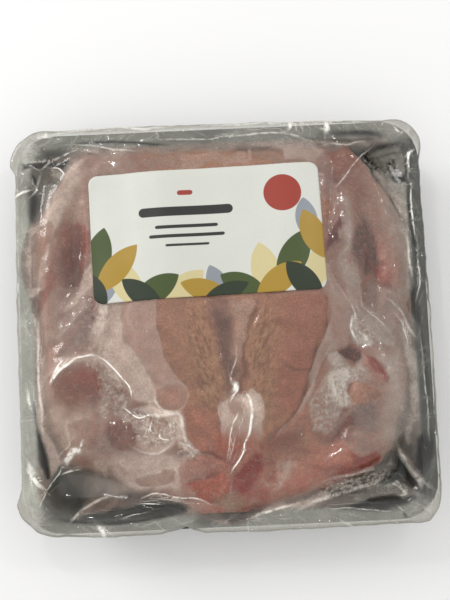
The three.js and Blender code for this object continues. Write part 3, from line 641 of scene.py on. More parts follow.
# Height, half width, whiteness, thickness of the white line of painted highlight and course of the creases
CREASES = {
    "knee arc left": (1, 1.8, 1, 1.8, [(50, 384), (54, 378), (60, 370), (66, 365), (74, 358)]),
    "knee arc spur": (0.6, 1.4, 0.6, 1, [(52, 378), (56, 370), (60, 362), (66, 358)]),
    "knee arc top": (0.9, 1.6, 0.8, 1.1, [(66, 364), (76, 357), (88, 355), (96, 356)]),
    "knee arc": (0.9, 1.6, 1, 1, [(98, 357), (108, 363), (114, 368), (123, 378), (129, 388), (131, 398)]),
    "low arc": (0.8, 1.5, 1, 0.9, [(124, 408), (132, 415), (139, 418), (147, 416), (156, 413)]),
    "squiggle a": (0.6, 1.2, 0.7, 0.9, [(152, 420), (150, 426), (150, 430), (154, 433)]),
    "squiggle b": (0.6, 1.2, 0.7, 0.9, [(161, 430), (160, 437), (164, 440), (170, 440)]),
    "squiggle c": (0.5, 1.2, 1, 1.6, [(170, 423), (171, 426)]),
    "squiggle d": (0.5, 1.2, 0.3, 0.8, [(140, 424), (146, 430), (144, 436)]),
    "foam rim": (0.4, 1.6, 0.25, 1.6, [(132, 446), (146, 453), (162, 452), (174, 442)]),
    "round patch rim": (0.4, 1.4, 0.3, 1.4, [(156, 392), (157, 402), (164, 410), (176, 411), (184, 407)]),
    "ridge left": (1, 2, 0.35, 2.4, [
        (146, 412), (158, 416), (168, 414), (180, 414), (182, 426), (188, 442), (200, 456),
    ]),
    "curl": (0.9, 1.6, 1, 3.2, [(233, 382), (236, 385), (236, 389), (233, 392)]),
    "curl top": (0.7, 1.2, 1, 1.1, [
        (230, 377), (233, 382), (238, 385), (238, 390), (235, 394), (231, 401),
    ]),
    "keel line": (0.5, 1.2, 0.5, 1, [(236, 346), (236, 360), (232, 372), (230, 378)]),
    "long line": (0.9, 1.4, 1, 1.5, [
        (248, 395), (250, 399), (252, 405), (253, 413), (252, 421), (250, 430), (247, 440),
    ]),
    "long line low": (0.9, 1.2, 1, 1.1, [
        (252, 421), (250, 430), (247, 440), (242, 453), (236, 464), (231, 473),
    ]),
    "pink line": (0.6, 1.2, 0.6, 1, [
        (239, 413), (237, 417), (233, 424), (231, 432), (229, 444), (227, 460),
    ]),
    "pink line low": (0.6, 1.2, 0.5, 1, [(236, 436), (233, 448), (229, 462)]),
    "blister rim": (0.5, 1.3, 0.3, 1, [(220, 404), (219, 414), (221, 424)]),
    "right streak": (0.8, 1.4, 0.7, 0.9, [(352, 305), (355, 312), (358, 319)]),
    "right streak low": (0.7, 1.4, 0.7, 1.6, [(353, 316), (352, 328), (356, 338)]),
    "sheet edge": (0.3, 1.3, 0.22, 0.8, [(361, 290), (362, 304), (370, 314), (378, 320), (390, 332)]),
    "sheet edge low": (0.5, 1.3, 0.4, 0.8, [(394, 312), (402, 322), (406, 334), (407, 346)]),
    "wing right low": (0.3, 1.6, 0.3, 1.8, [(388, 298), (396, 304), (404, 316), (410, 328), (418, 340)]),
    "fold edge": (0.25, 1.6, 0.12, 1.4, [(330, 270), (338, 284), (346, 296), (350, 302)]),
    "fold right inner": (0.25, 1.4, 0.15, 1, [(332, 342), (324, 356), (316, 376), (304, 402)]),
    "white glints a": (0.5, 1.2, 1, 1.6, [(333, 384), (336, 394)]),
    "white glints b": (0.5, 1.2, 1, 1.8, [(366, 336), (369, 341)]),
    "white glints c": (0.4, 1.2, 0.8, 1, [(326, 392), (328, 402)]),
    "top right ridge": (1, 1.8, 0.55, 1, [(336, 188), (344, 178), (350, 168), (359, 159), (370, 150)]),
    "v left": (0.8, 1.6, 0.55, 1.2, [(40, 170), (46, 166), (53, 162), (67, 155), (77, 151)]),
    "v left arm": (0.7, 1.5, 0.6, 1.1, [(25, 163), (31, 165), (40, 170)]),
    "corner fold": (0.6, 1.5, 0.4, 1, [(29, 162), (41, 161), (53, 160), (64, 156)]),
    "corner flap": (0.5, 1.4, 0.7, 0.9, [(48, 168), (57, 169), (62, 172), (67, 177)]),
    "corner fold low": (0.5, 1.4, 0.3, 1.4, [(41, 171), (38, 182), (34, 192), (28, 199)]),
    "top left glints c": (0.5, 1.3, 0.9, 1.6, [(35, 138), (43, 138), (51, 137)]),
    "top left glints d": (0.5, 1.3, 1, 1.8, [(40, 134), (46, 134)]),
    "top left glints e": (0.5, 1.3, 1, 1.8, [(60, 134), (63, 134)]),
    "low right glint": (0.5, 1.3, 1, 1.6, [(399, 507), (402, 510)]),
    "low right glint b": (0.5, 1.3, 0.8, 2, [(424, 507), (429, 511)]),
    "low right curl": (0.5, 1.4, 0.35, 1.4, [(391, 486), (398, 482), (403, 490), (408, 491)]),
    "low right ridge low": (0.6, 1.5, 0.25, 1.2, [
        (398, 456), (404, 463), (413, 474), (418, 480), (424, 489),
    ]),
    "left cross": (0.9, 1.4, 1, 1.4, [(14, 198), (22, 193), (30, 190)]),
    "top left glints": (0.6, 1.3, 0.8, 1.2, [(34, 139), (44, 137), (52, 134)]),
    "top left glints b": (0.5, 1.3, 0.8, 1.2, [(54, 134), (60, 134), (64, 132)]),
    "top sheet": (0.3, 1.8, 0.35, 1.2, [(60, 145), (90, 146), (116, 150), (140, 152)]),
    "top long": (0.5, 1.6, 0.4, 1.2, [(150, 140), (200, 140), (230, 136), (280, 133), (312, 142)]),
    "top long b": (0.5, 1.6, 0.35, 1.2, [(318, 146), (340, 144), (366, 142)]),
    "seal glint a": (0.5, 1.2, 1, 2.6, [(289, 122), (290, 127), (288, 130)]),
    "seal glint b": (0.5, 1.2, 0.9, 1.8, [(301, 124), (302, 129)]),
    "seal glint c": (0.6, 1.2, 1, 3.4, [(326, 122), (327, 128), (326, 134)]),
    "seal glint d": (0.5, 1.2, 0.8, 1.6, [(342, 122), (343, 127)]),
    "seal glint e": (0.5, 1.2, 0.8, 1.4, [(157, 133), (158, 138)]),
    "seal left": (0.5, 1.4, 0.6, 2, [(62, 133), (90, 129), (118, 127), (142, 129), (170, 126)]),
    "seal right": (0.5, 1.4, 0.45, 1.6, [(200, 126), (240, 124), (280, 122), (330, 121), (370, 121)]),
    "corner right": (0.5, 1.4, 0.8, 1, [(393, 126), (398, 131), (404, 134)]),
    "right lip": (0.8, 1.4, 1, 1.5, [(414, 150), (409, 154), (408, 162), (408, 178)]),
    "right lip b": (0.8, 1.4, 0.8, 1.2, [(408, 180), (411, 186), (410, 196), (412, 220), (416, 240)]),
    "right lip c": (0.8, 1.4, 0.6, 1, [(416, 236), (418, 258), (420, 280), (416, 300)]),
    "right lip d": (0.6, 1.4, 0.4, 1, [(420, 330), (424, 370), (428, 410), (430, 440)]),
    "right margin line": (0.5, 1.4, 0.4, 1.4, [(406, 236), (410, 262), (414, 282)]),
    "low left edge": (1, 1.6, 0.6, 1, [(40, 507), (46, 494), (54, 482), (60, 472), (64, 464)]),
    "low left star": (0.8, 1.6, 1, 4.6, [(65, 465), (69, 458), (74, 452), (79, 450)]),
    "low left star d": (0.4, 1.2, 1, 2.4, [(68, 461), (71, 456), (76, 453)]),
    "low left star b": (0.8, 1.4, 1, 1.4, [(75, 452), (79, 451), (82, 440)]),
    "low left star c": (0.6, 1.4, 1, 1.6, [(71, 454), (72, 449)]),
    "low left pale": (0.8, 1.6, 0.7, 0.9, [(62, 474), (70, 471), (82, 469)]),
    "low left ridge": (1, 2, 0.4, 1.8, [
        (70, 522), (76, 515), (84, 509), (93, 504), (102, 500), (112, 497),
    ]),
    "left streak": (0.9, 1.4, 1, 2.4, [(28, 470), (32, 477), (38, 484), (44, 489)]),
    "left streak b": (0.6, 1.4, 0.7, 2.4, [(28, 462), (31, 470), (34, 478)]),
    "bottom streak": (0.9, 1.4, 1, 3, [(98, 526), (102, 531), (104, 538)]),
    "bottom streak right": (0.7, 1.3, 1, 1.6, [(348, 524), (354, 528)]),
    "bottom streak right b": (0.7, 1.3, 0.8, 1.2, [(340, 521), (346, 524)]),
    "bottom streak left": (0.7, 1.3, 0.7, 1, [(248, 524), (249, 531)]),
    "pit lines a": (0.5, 1.2, 0.8, 0.8, [(139, 503), (150, 503), (160, 504)]),
    "pit lines b": (0.5, 1.2, 0.5, 0.8, [(120, 518), (134, 514), (148, 511)]),
    "pit lines c": (0.5, 1.2, 0.4, 0.8, [(150, 498), (170, 500), (190, 504)]),
    "low film edge": (0.7, 1.6, 0.6, 1.2, [(141, 497), (156, 493), (175, 497), (196, 499), (212, 504)]),
    "low right ridge": (1, 1.8, 0.4, 2.6, [(398, 447), (403, 457), (411, 468), (421, 479), (434, 489)]),
    "low right flap": (0.5, 1.4, 0.4, 1.2, [(384, 486), (392, 484), (400, 488), (406, 494), (398, 496)]),
    "pale streak": (0.4, 1.8, 0.3, 2.4, [(296, 510), (318, 500), (344, 492), (372, 484), (384, 474)]),
    "pale streak b": (0.4, 1.6, 0.28, 1.6, [(322, 482), (342, 476), (366, 472), (386, 464)]),
    "bottom pale": (0.5, 1.4, 0.45, 1.6, [(250, 518), (262, 512), (280, 508), (300, 502)]),
    "bottom rim": (0.5, 1.4, 0.5, 1, [(330, 508), (360, 509), (390, 510)]),
    "left long": (0.5, 1.6, 0.35, 1.6, [(38, 320), (38, 350), (40, 400), (44, 440)]),
    "left long b": (0.5, 1.6, 0.3, 1.6, [(46, 330), (44, 360)]),
    "left bright": (0.4, 1.4, 0.8, 1.2, [(18, 284), (18, 292)]),
    "left bright b": (0.4, 1.4, 0.9, 1.8, [(28, 392), (29, 402), (30, 408)]),
    "elbow": (0.6, 1.4, 0.8, 1, [(33, 322), (35, 328)]),
}

# Outlines where the film lies tight on the flesh and is clear, and where it is only a little milky
CONTACTS = {
    "breast": [
        (157, 294), (156, 326), (162, 346), (166, 360), (172, 372), (179, 382), (186, 388), (189, 396),
        (186, 405), (182, 412), (186, 424), (190, 440), (200, 452), (214, 456), (226, 462), (222, 440),
        (219, 424), (219, 402), (228, 397), (236, 392), (248, 386), (255, 390), (262, 396), (265, 406),
        (265, 424), (262, 436), (264, 444), (276, 434), (290, 420), (302, 404), (309, 390), (308, 376),
        (314, 360), (322, 340), (328, 322), (327, 294),
    ],
    "tail": [
        (185, 483), (196, 477), (205, 476), (214, 470), (224, 470), (231, 476), (229, 500), (220, 505),
        (206, 503), (199, 500), (195, 492),
    ],
    "vent": [(238, 486), (248, 470), (260, 457), (265, 466), (258, 480), (248, 494), (238, 498)],
    "hollow knee": [
        (335, 350), (344, 347), (350, 342), (356, 346), (362, 350), (360, 358), (352, 366), (345, 359),
    ],
    "fat": [
        (346, 391), (349, 384), (357, 380), (366, 382), (374, 386), (382, 391), (384, 396), (378, 400),
        (368, 401), (360, 405), (352, 402),
    ],
    "drumstick right": [
        (326, 476), (340, 466), (350, 452), (360, 458), (378, 451), (382, 458), (376, 466), (352, 472),
    ],
    "by the label": [(322, 200), (330, 200), (334, 208), (328, 224), (323, 230)],
    "wine": [(323, 243), (331, 229), (341, 214), (342, 226), (338, 240), (330, 245), (324, 254)],
    "notch": [(346, 422), (350, 412), (354, 420), (352, 432), (338, 440), (330, 446), (334, 434)],
}
HALF_CONTACTS = {
    "finger": [
        (136, 481), (141, 476), (152, 475), (166, 470), (175, 471), (174, 480), (163, 486), (142, 487),
    ],
    "round patch": [
        (160, 399), (160, 391), (168, 387), (177, 387), (182, 392), (182, 400), (177, 405), (168, 406),
        (162, 405),
    ],
    "shin left": [(68, 424), (84, 418), (100, 426), (96, 444), (84, 452), (72, 448)],
    "neck patch a": [(144, 154), (176, 153), (178, 167), (150, 170), (143, 163)],
    "neck patch b": [(179, 153), (224, 151), (247, 150), (248, 160), (226, 163), (180, 168)],
    "neck patch c": [(251, 150), (268, 148), (282, 150), (284, 160), (264, 160), (252, 157)],
    "shoulder right": [(328, 152), (346, 146), (362, 154), (356, 166), (344, 176), (336, 186), (330, 180)],
    "wing left skin": [(32, 236), (50, 221), (54, 227), (46, 250), (40, 288), (30, 290)],
    "hollow left": [
        (58, 236), (68, 227), (78, 222), (88, 230), (90, 250), (88, 268), (80, 286), (68, 292), (58, 284),
        (52, 292), (46, 300), (44, 284), (50, 262),
    ],
    "elbow left": [(30, 298), (44, 290), (48, 280), (54, 276), (52, 290), (44, 308), (38, 322), (33, 314)],
    "hollow right": [
        (355, 228), (364, 217), (372, 226), (378, 244), (384, 262), (392, 276), (392, 288), (382, 286),
        (372, 272), (360, 270), (353, 256),
    ],
    "bottom": [
        (178, 468), (196, 454), (228, 462), (262, 444), (292, 434), (320, 446), (340, 444), (352, 452),
        (330, 478), (300, 494), (276, 500), (256, 516), (232, 524), (206, 500), (184, 500),
    ],
    "streak red": [(362, 352), (374, 356), (384, 366), (390, 380), (384, 384), (372, 374)],
}
# Soft edge and outline of the frothy places
FOAMS = [
    (2.5, [
        (92, 362), (104, 366), (118, 376), (130, 392), (130, 406), (146, 410), (160, 416), (176, 418),
        (180, 426), (174, 442), (160, 450), (146, 450), (138, 440), (128, 424), (112, 416), (102, 414),
        (99, 394),
    ]),
    (3, [
        (312, 404), (322, 386), (332, 366), (340, 362), (350, 370), (362, 364), (370, 372), (362, 380),
        (350, 382), (346, 392), (350, 402), (344, 414), (338, 426), (324, 434), (312, 428),
    ]),
    (2.5, [(176, 436), (190, 440), (204, 458), (188, 462), (178, 456)]),
    (2.5, [(88, 296), (112, 298), (108, 314), (98, 330), (92, 316)]),
    (3, [(320, 480), (344, 474), (386, 464), (394, 470), (384, 484), (350, 492), (324, 498)]),
    (2, [(386, 162), (394, 158), (398, 166), (392, 176), (384, 172)]),
    (2.5, [(360, 152), (376, 160), (382, 172), (372, 174), (362, 166)]),
    (2.5, [(354, 314), (364, 318), (374, 332), (374, 342), (362, 346), (352, 336)]),
]
# Half width, strength and course of the dark lines where the film is clear over the black tray
DARK_LINES = [
    (0.9, 0.9, [(60, 146), (90, 143), (118, 142), (150, 144), (170, 145)]),
    (0.7, 0.7, [(170, 141), (200, 139), (226, 136)]),
    (2, 0.9, [(318, 135), (346, 133), (372, 133), (386, 135)]),
    (1, 0.6, [(300, 137), (330, 140), (360, 140), (380, 138)]),
    (1.9, 0.85, [(362, 156), (376, 149), (390, 145), (402, 144)]),
    (0.8, 0.6, [(372, 160), (390, 154), (404, 152)]),
    (1.1, 0.95, [(407, 156), (406, 168), (407, 178)]),
    (0.8, 0.95, [(408, 186), (408, 204), (411, 226), (414, 246), (417, 262)]),
    (0.7, 0.7, [(376, 178), (388, 196), (398, 212), (406, 228)]),
    (1.8, 0.8, [(392, 176), (398, 180), (407, 179)]),
    (1.5, 0.85, [(415, 292), (418, 310), (420, 326)]),
    (0.8, 0.9, [(421, 328), (424, 352), (427, 380), (430, 402)]),
    (1.3, 0.9, [(431, 428), (432, 444), (430, 460), (425, 472)]),
    (1.3, 0.8, [(422, 440), (420, 456), (424, 472)]),
    (1.2, 0.9, [(38, 432), (42, 446), (46, 462), (49, 476)]),
    (0.8, 0.7, [(28, 318), (30, 328)]),
    (0.9, 0.7, [(34, 400), (35, 414), (36, 426)]),
    (1.5, 0.85, [(31, 174), (34, 178), (36, 183), (35, 188)]),
    (0.9, 0.8, [(402, 510), (405, 515), (409, 520)]),
    (2.4, 0.5, [(33, 200), (33, 210), (34, 219)]),
    (1.2, 0.9, [(58, 520), (76, 522), (110, 524), (150, 519), (185, 513)]),
    (0.9, 0.8, [(110, 512), (140, 508), (180, 505)]),
    (0.9, 0.7, [(100, 518), (130, 514), (172, 510)]),
    (1.6, 0.9, [(340, 507), (370, 509), (402, 508)]),
    (1.4, 0.9, [(400, 457), (406, 462), (416, 474), (424, 484), (424, 492)]),
    (0.8, 0.7, [(384, 508), (396, 500), (402, 492)]),
    (0.7, 0.7, [(404, 430), (404, 438), (406, 446)]),
    (0.6, 0.6, [(80, 153), (90, 154), (98, 155)]),
]

# Depth, half width and course of the grooves between the bird's parts, in millimetres on the rim's level
GROOVES = [
    (1.3, 3.0, [(22, 20), (22, 9), (15, -3), (12, -11), (11, -20), (10, -40)]),
    (1.0, 2.6, [(-4, 6), (-3, -14), (-1, -31), (0, -44)]),
    (1.5, 2.4, [(-61, 19), (-65, 5), (-61, -10), (-54, -26), (-44, -37), (-34, -44)]),
    (1.6, 2.2, [(67, 16), (66, -2), (58, -18), (55, -31), (50, -46), (38, -64), (24, -75)]),
    (1.2, 2.4, [(88, -19), (95, -25), (100, -31), (104, -37)]),
    (1.4, 2.6, [(62, -99), (79, -96), (90, -93), (99, -86)]),
    (1.3, 2.4, [(-88, 20), (-98, 12), (-106, 6), (-107, -8)]),
    (1.2, 2.4, [(98, 22), (108, 18), (118, 14)]),
    (1.3, 2.6, [(-82, -58), (-70, -53), (-56, -56), (-44, -62), (-34, -78)]),
    (1.2, 2.4, [(-31, -80), (-25, -83), (-18, -82), (-8, -85), (0, -86)]),
    (1.2, 2.2, [(72, 95), (72, 80), (70, 60), (74, 44)]),
    (1.2, 2.4, [(-94, 100), (-90, 84), (-88, 66), (-92, 44)]),
]
# Half width and course of the breast's feather tracts
TRACTS = [
    (11, [(-18, 19), (-16, -3), (-13, -24), (-9, -42), (-4, -62)]),
    (10, [(28, 19), (26, 0), (22, -18), (21, -36), (22, -56)]),
]
# Where the streaks of the film and the flesh run down from, and the radius that their width is given at
WISP_CENTRE = (10, 172)
WISP_RADIUS = 150
# Screen colours from 0 to 255: the milky film's, those of details, and those of the flesh's zones
MILK = {
    "border": (186, 185, 174), "flesh": (212, 190, 176), "flesh right": (192, 178, 166),
    "rim": (160, 158, 148),
}
FLUSH = (166, 86, 76)
BLANCHED = (218, 184, 166)
VEIN = (138, 62, 54)
# Painted shade between the raised rows of the feather tracts
FURROW_SHADE = (136, 92, 70)
# The follicles' own pale tone, lightened further as painted highlight on the raised rows
FOLLICLE_AND_HIGHLIGHT = (216, 180, 146)
# Colour of the painted highlights along the film's creases and of its sparkles
GLINT = (255, 253, 246)
PAPER = (208, 209, 201)
# The 'hollow' colour is painted shade in the bird's hollows; 'purple' is the flesh's own purplish tone, used
# also as painted shade in the hollows and along the keel; 'shade' is painted shade at the pits
PALETTE = {
    "breast": (202, 150, 122), "breast right": (192, 135, 111), "leg": (176, 128, 110),
    "pale": (216, 186, 170), "grey": (166, 146, 134), "red": (166, 84, 72), "blood": (158, 28, 20),
    "wine": (112, 56, 58), "pink": (210, 162, 146), "pinkish": (206, 142, 120), "rose": (206, 158, 138),
    "salmon": (206, 113, 87), "rust": (166, 102, 84), "purple": (98, 68, 66), "mauve": (158, 122, 112),
    "brown": (134, 88, 72), "beige": (190, 160, 144), "tan": (194, 150, 126), "cream": (230, 208, 188),
    "straw": (198, 152, 120), "olive": (176, 146, 116), "shade": (56, 56, 55), "hollow": (92, 56, 48),
}

# The label's printed layers, from the lowest to the top one, and their colours
LABEL_LAYERS = ["blue", "cream", "green", "mustard", "deep", "terracotta", "ink"]
LABEL_INKS = {
    "blue": (138, 144, 152), "cream": (204, 192, 144), "green": (64, 78, 34), "mustard": (164, 132, 42),
    "deep": (34, 46, 26), "terracotta": (152, 54, 40), "ink": (34, 36, 34),
}
# Leaves of the label's design: layer, middle, half length, half width and turn in degrees
LABEL_LEAVES = [
    ("blue", (-66, -30), 17, 8, 60), ("blue", (6, -36), 15, 7, 110), ("blue", (64, 4), 14, 7, 95),
    ("cream", (-52, -30), 20, 9, 120), ("cream", (-16, -36), 17, 8, 40), ("cream", (36, -28), 19, 9, 100),
    ("cream", (70, -26), 17, 8, 70), ("green", (-70, -12), 20, 9, 75), ("green", (-34, -36), 18, 8, 30),
    ("green", (22, -37), 17, 8, 150), ("green", (54, -20), 20, 9, 60), ("mustard", (-58, -20), 20, 8, 45),
    ("mustard", (-2, -38), 17, 7, 160), ("mustard", (44, -34), 18, 8, 35), ("mustard", (68, -6), 17, 8, 110),
    ("deep", (-42, -38), 17, 7, 140), ("deep", (10, -40), 16, 6, 20), ("deep", (60, -36), 17, 8, 130),
    ("deep", (-72, -36), 14, 7, 100),
]
# Middle, half length and half width of its bars, and middle and radius of its dot
LABEL_BARS = [
    ((-12, 14), 30, 3.0), ((-12, 4), 20, 1.1), ((-12, -2), 24, 1.1), ((-12, -8), 14, 0.8),
]
LABEL_PILL = ((-12, 26), 5, 1.6)
LABEL_DOT = ((50, 22), 12)

# Name, place, size and power of the lamps, in metres and watts, and the point that they face
LAMPS = [
    ("window", (-1.7, 1.0, 0.9), 0.9, 16),
    ("glint left", (-0.35, 0.75, 1.1), 0.05, 1.0),
    ("glint right", (0.55, 0.5, 1.0), 0.05, 0.8),
]
LAMP_TARGET = (0, 0, 0.04)
ROOM_COLOUR = (1.0, 0.995, 0.98, 1)
ROOM_STRENGTH = 0.86


def smooth_step(value):
    share = np.clip(value, 0, 1)
    return share * share * (3 - 2 * share)


def smooth_max(first, second, blend):
    near = np.maximum(blend - np.abs(first - second), 0) / blend
    return np.maximum(first, second) + near * near * blend / 4


def linear(colour):
    """Turns a screen colour from 0 to 255 into a linear one."""
    share = np.array(colour) / 255
    return np.where(share <= 0.04045, share / 12.92, ((share + 0.055) / 1.055) ** 2.4)


def noise(x, y, size, seed, octaves=3):
    """Smooth noise between about -1 and 1 whose widest blots are size across."""
    total = np.zeros(np.shape(x))
    for octave in range(octaves):
        lattice = np.random.default_rng(seed + octave).uniform(-1, 1, (NOISE_CELLS, NOISE_CELLS))
        u = np.asarray(x) / size * 2**octave + 100.3
        v = np.asarray(y) / size * 2**octave + 100.7
        left = np.floor(u).astype(int)
        below = np.floor(v).astype(int)
        across = smooth_step(u - left)
        up = smooth_step(v - below)
        column, row = left % NOISE_CELLS, below % NOISE_CELLS
        next_column, next_row = (left + 1) % NOISE_CELLS, (below + 1) % NOISE_CELLS
        low = lattice[row, column] * (1 - across) + lattice[row, next_column] * across
        high = lattice[next_row, column] * (1 - across) + lattice[next_row, next_column] * across
        total += (low * (1 - up) + high * up) * 0.5**octave
    return total


def rounded_point(u, v, half_x, half_y, radius):
    """Maps the edge of a square onto a rounded rectangle."""
    on_side = np.abs(u) >= np.abs(v)
    along = np.where(on_side, v, u)
    share = 1 - CORNER_SHARE
    straight = np.minimum(np.abs(along) / share, 1)
    angle = np.maximum(np.abs(along) - share, 0) / CORNER_SHARE * math.pi / 4

    def reach(half):
        return np.sign(along) * (straight * (half - radius) + radius * np.sin(angle))

    def out(half):
        return half - radius + radius * np.cos(angle)

    x = np.where(on_side, np.sign(u) * out(half_x), reach(half_x))
    y = np.where(on_side, reach(half_y), np.sign(v) * out(half_y))
    return x, y


def tray_ring(u, v, inset):
    radius = TRAY_CORNER - CORNER_TIGHTENING * inset
    return rounded_point(u, v, TRAY_HALF_X - inset, TRAY_HALF_Y - inset, radius)


def inside_mouth(x, y):
    """Distance inside the tray's mouth, below zero over the flange."""
    radius = TRAY_CORNER - CORNER_TIGHTENING * FLANGE_WIDTH
    over_x = np.abs(x) - (TRAY_HALF_X - FLANGE_WIDTH - radius)
    over_y = np.abs(y) - (TRAY_HALF_Y - FLANGE_WIDTH - radius)
    corner = np.hypot(np.maximum(over_x, 0), np.maximum(over_y, 0))
    return radius - corner - np.minimum(np.maximum(over_x, over_y), 0)


def nearest_on(line, x, y):
    """Distance to a line of points, the line's third value at its nearest place, and its side, 1 or -1."""
    best = np.full(np.shape(x), 1e9)
    level = np.zeros(np.shape(x))
    side = np.ones(np.shape(x))
    for start, end in zip(line[:-1], line[1:]):
        run_x = end[0] - start[0]
        run_y = end[1] - start[1]
        far_x = x - start[0]
        far_y = y - start[1]
        square = max(run_x * run_x + run_y * run_y, 1e-9)
        along = np.clip((far_x * run_x + far_y * run_y) / square, 0, 1)
        gap = np.hypot(far_x - along * run_x, far_y - along * run_y)
        closer = gap < best
        best = np.where(closer, gap, best)
        level = np.where(closer, start[2] + along * (end[2] - start[2]), level)
        side = np.where(closer, np.sign(far_x * run_y - far_y * run_x), side)
    return best, level, side


def curve_through(points, steps):
    """Points on a smooth curve through the given ones."""
    ends = [points[0]] + list(points) + [points[-1]]
    ends = np.array(ends, dtype=float)
    curve = []
    spans = len(points) - 1
    for step in range(steps + 1):
        place = min(step / steps * spans, spans - 1e-9)
        span = int(place)
        t = place - span
        a, b, c, d = ends[span:span + 4]
        bend = 2 * b + (c - a) * t + (2 * a - 5 * b + 4 * c - d) * t**2 + (3 * b - a - 3 * c + d) * t**3
        curve.append(tuple(bend / 2))
    return curve


def camera_pose():
    """Place of the photograph's camera, in millimetres, and its turn."""
    away = Vector((0, -math.cos(CAMERA_ELEVATION), math.sin(CAMERA_ELEVATION)))
    facing = (-away).to_track_quat("-Z", "Y")
    roll = Quaternion((0, 0, 1), CAMERA_ROLL)
    return Vector(CAMERA_TARGET) + away * CAMERA_DISTANCE, facing @ roll


def on_rim(pixels):
    """Points on the level of the tray's rim that the photograph shows at these pixels."""
    camera, turn = camera_pose()
    points = []
    for column, row in pixels:
        across = (column - PICTURE_WIDTH / 2) * PIXEL_SIZE
        up = (PICTURE_HEIGHT / 2 - row) * PIXEL_SIZE
        ray = turn @ Vector((across, up, -CAMERA_DISTANCE))
        point = camera + ray * ((RIM_LEVEL - camera.z) / ray.z)
        points.append((point.x, point.y))
    return points


def drawn(shapes):
    """The rows of a list of noted shapes, with the pixels at each row's end turned into points."""
    return [(*row[:-1], on_rim(row[-1])) for row in shapes]


def bird_height(x, y):
    """Height of the forms alone."""
    height = np.full(np.shape(x), -40.0)
    for crest, reach, drop in FORMS:
        gap, level, _ = nearest_on(curve_through(crest, CREST_STEPS), x, y)
        height = smooth_max(height, level - drop * (gap / reach) ** 2, FORM_BLEND)
    return height


def bag_height(x, y):
    """Height of the smooth bag over the forms."""
    pit = np.zeros(np.shape(x))
    for place_x, place_y, reach, depth in PITS:
        far = ((x - place_x) ** 2 + (y - place_y) ** 2) / reach**2
        pit = np.maximum(pit, depth * np.exp(-far))
    free = smooth_max(bird_height(x, y), SLACK_LEVEL - pit, FORM_BLEND)
    rim = TRAY_HEIGHT + GAP + BAG_EDGE
    return rim + (free - rim) * smooth_step(inside_mouth(x, y) / RIM_BLEND)


# Table of the bag's height, for the many points that look it up
LOOKUP_HALF = 150
LOOKUP_STEP = 1.5
lookup_line = np.arange(-LOOKUP_HALF, LOOKUP_HALF + LOOKUP_STEP, LOOKUP_STEP)
LOOKUP = bag_height(*np.meshgrid(lookup_line, lookup_line))


def looked_up(x, y):
    u = np.clip((x + LOOKUP_HALF) / LOOKUP_STEP, 0, len(lookup_line) - 2)
    v = np.clip((y + LOOKUP_HALF) / LOOKUP_STEP, 0, len(lookup_line) - 2)
    column = np.floor(u).astype(int)
    row = np.floor(v).astype(int)
    low = LOOKUP[row, column] * (1 - u + column) + LOOKUP[row, column + 1] * (u - column)
    high = LOOKUP[row + 1, column] * (1 - u + column) + LOOKUP[row + 1, column + 1] * (u - column)
    return low * (1 - v + row) + high * (v - row)


def as_seen(x, y):
    """Where a point of the film appears on the level of the tray's rim, which the noted shapes lie on."""
    camera, _ = camera_pose()
    height = looked_up(x, y)
    lift = (height - RIM_LEVEL) / (camera.z - height)
    return x + lift * (x - camera.x), y + lift * (y - camera.y)


def paper_height(x, y):
    """Height of the label's underside: a stiff sheet over the bag."""
    stencil = np.array([-1, -0.5, 0, 0.5, 1]) * PAPER_REACH
    total = sum(looked_up(x + dx, y + dy) for dx in stencil for dy in stencil)
    return total / len(stencil) ** 2 + LABEL_LIFT


def label_press(x, y):
    """How far the label holds the film down, from 0 to 1."""
    past_x = np.maximum(np.abs(x - LABEL_CENTRE[0]) - LABEL_WIDTH / 2, 0)
    past_y = np.maximum(np.abs(y - LABEL_CENTRE[1]) - LABEL_HEIGHT / 2, 0)
    return 1 - smooth_step((np.hypot(past_x, past_y) - PRESS_MARGIN) / PAPER_REACH)


def depth_inside(outline, x, y):
    """Distance to a closed outline, above zero inside it."""
    closed = [(px, py, 0) for px, py in outline + outline[:1]]
    gap, _, _ = nearest_on(closed, x, y)
    inside = np.zeros(np.shape(x), dtype=bool)
    for start, end in zip(closed[:-1], closed[1:]):
        crosses = (start[1] > y) != (end[1] > y)
        rise = end[1] - start[1] if end[1] != start[1] else 1e-9
        inside ^= crosses & (x < start[0] + (y - start[1]) / rise * (end[0] - start[0]))
    return np.where(inside, gap, -gap)


def wandered(x, y, amount, seed):
    """Where points appear, moved about a little so that a drawn edge becomes an irregular one."""
    shift_x = noise(x, y, 11, seed) * amount
    shift_y = noise(x, y, 11, seed + 50) * amount
    seen_x, seen_y = as_seen(x, y)
    return seen_x + shift_x, seen_y + shift_y


def tapered(points):
    """Gives a line a third value that is 1 along it and fades at both ends."""
    last = len(points) - 1
    return [(x, y, 0.25 if place in (0, last) else 1.0) for place, (x, y) in enumerate(points)]


def stroke(x, y, points, width):
    gap, strength, _ = nearest_on(curve_through(tapered(points), 4 * len(points)), x, y)
    return strength * np.exp(-((gap / width) ** 2))


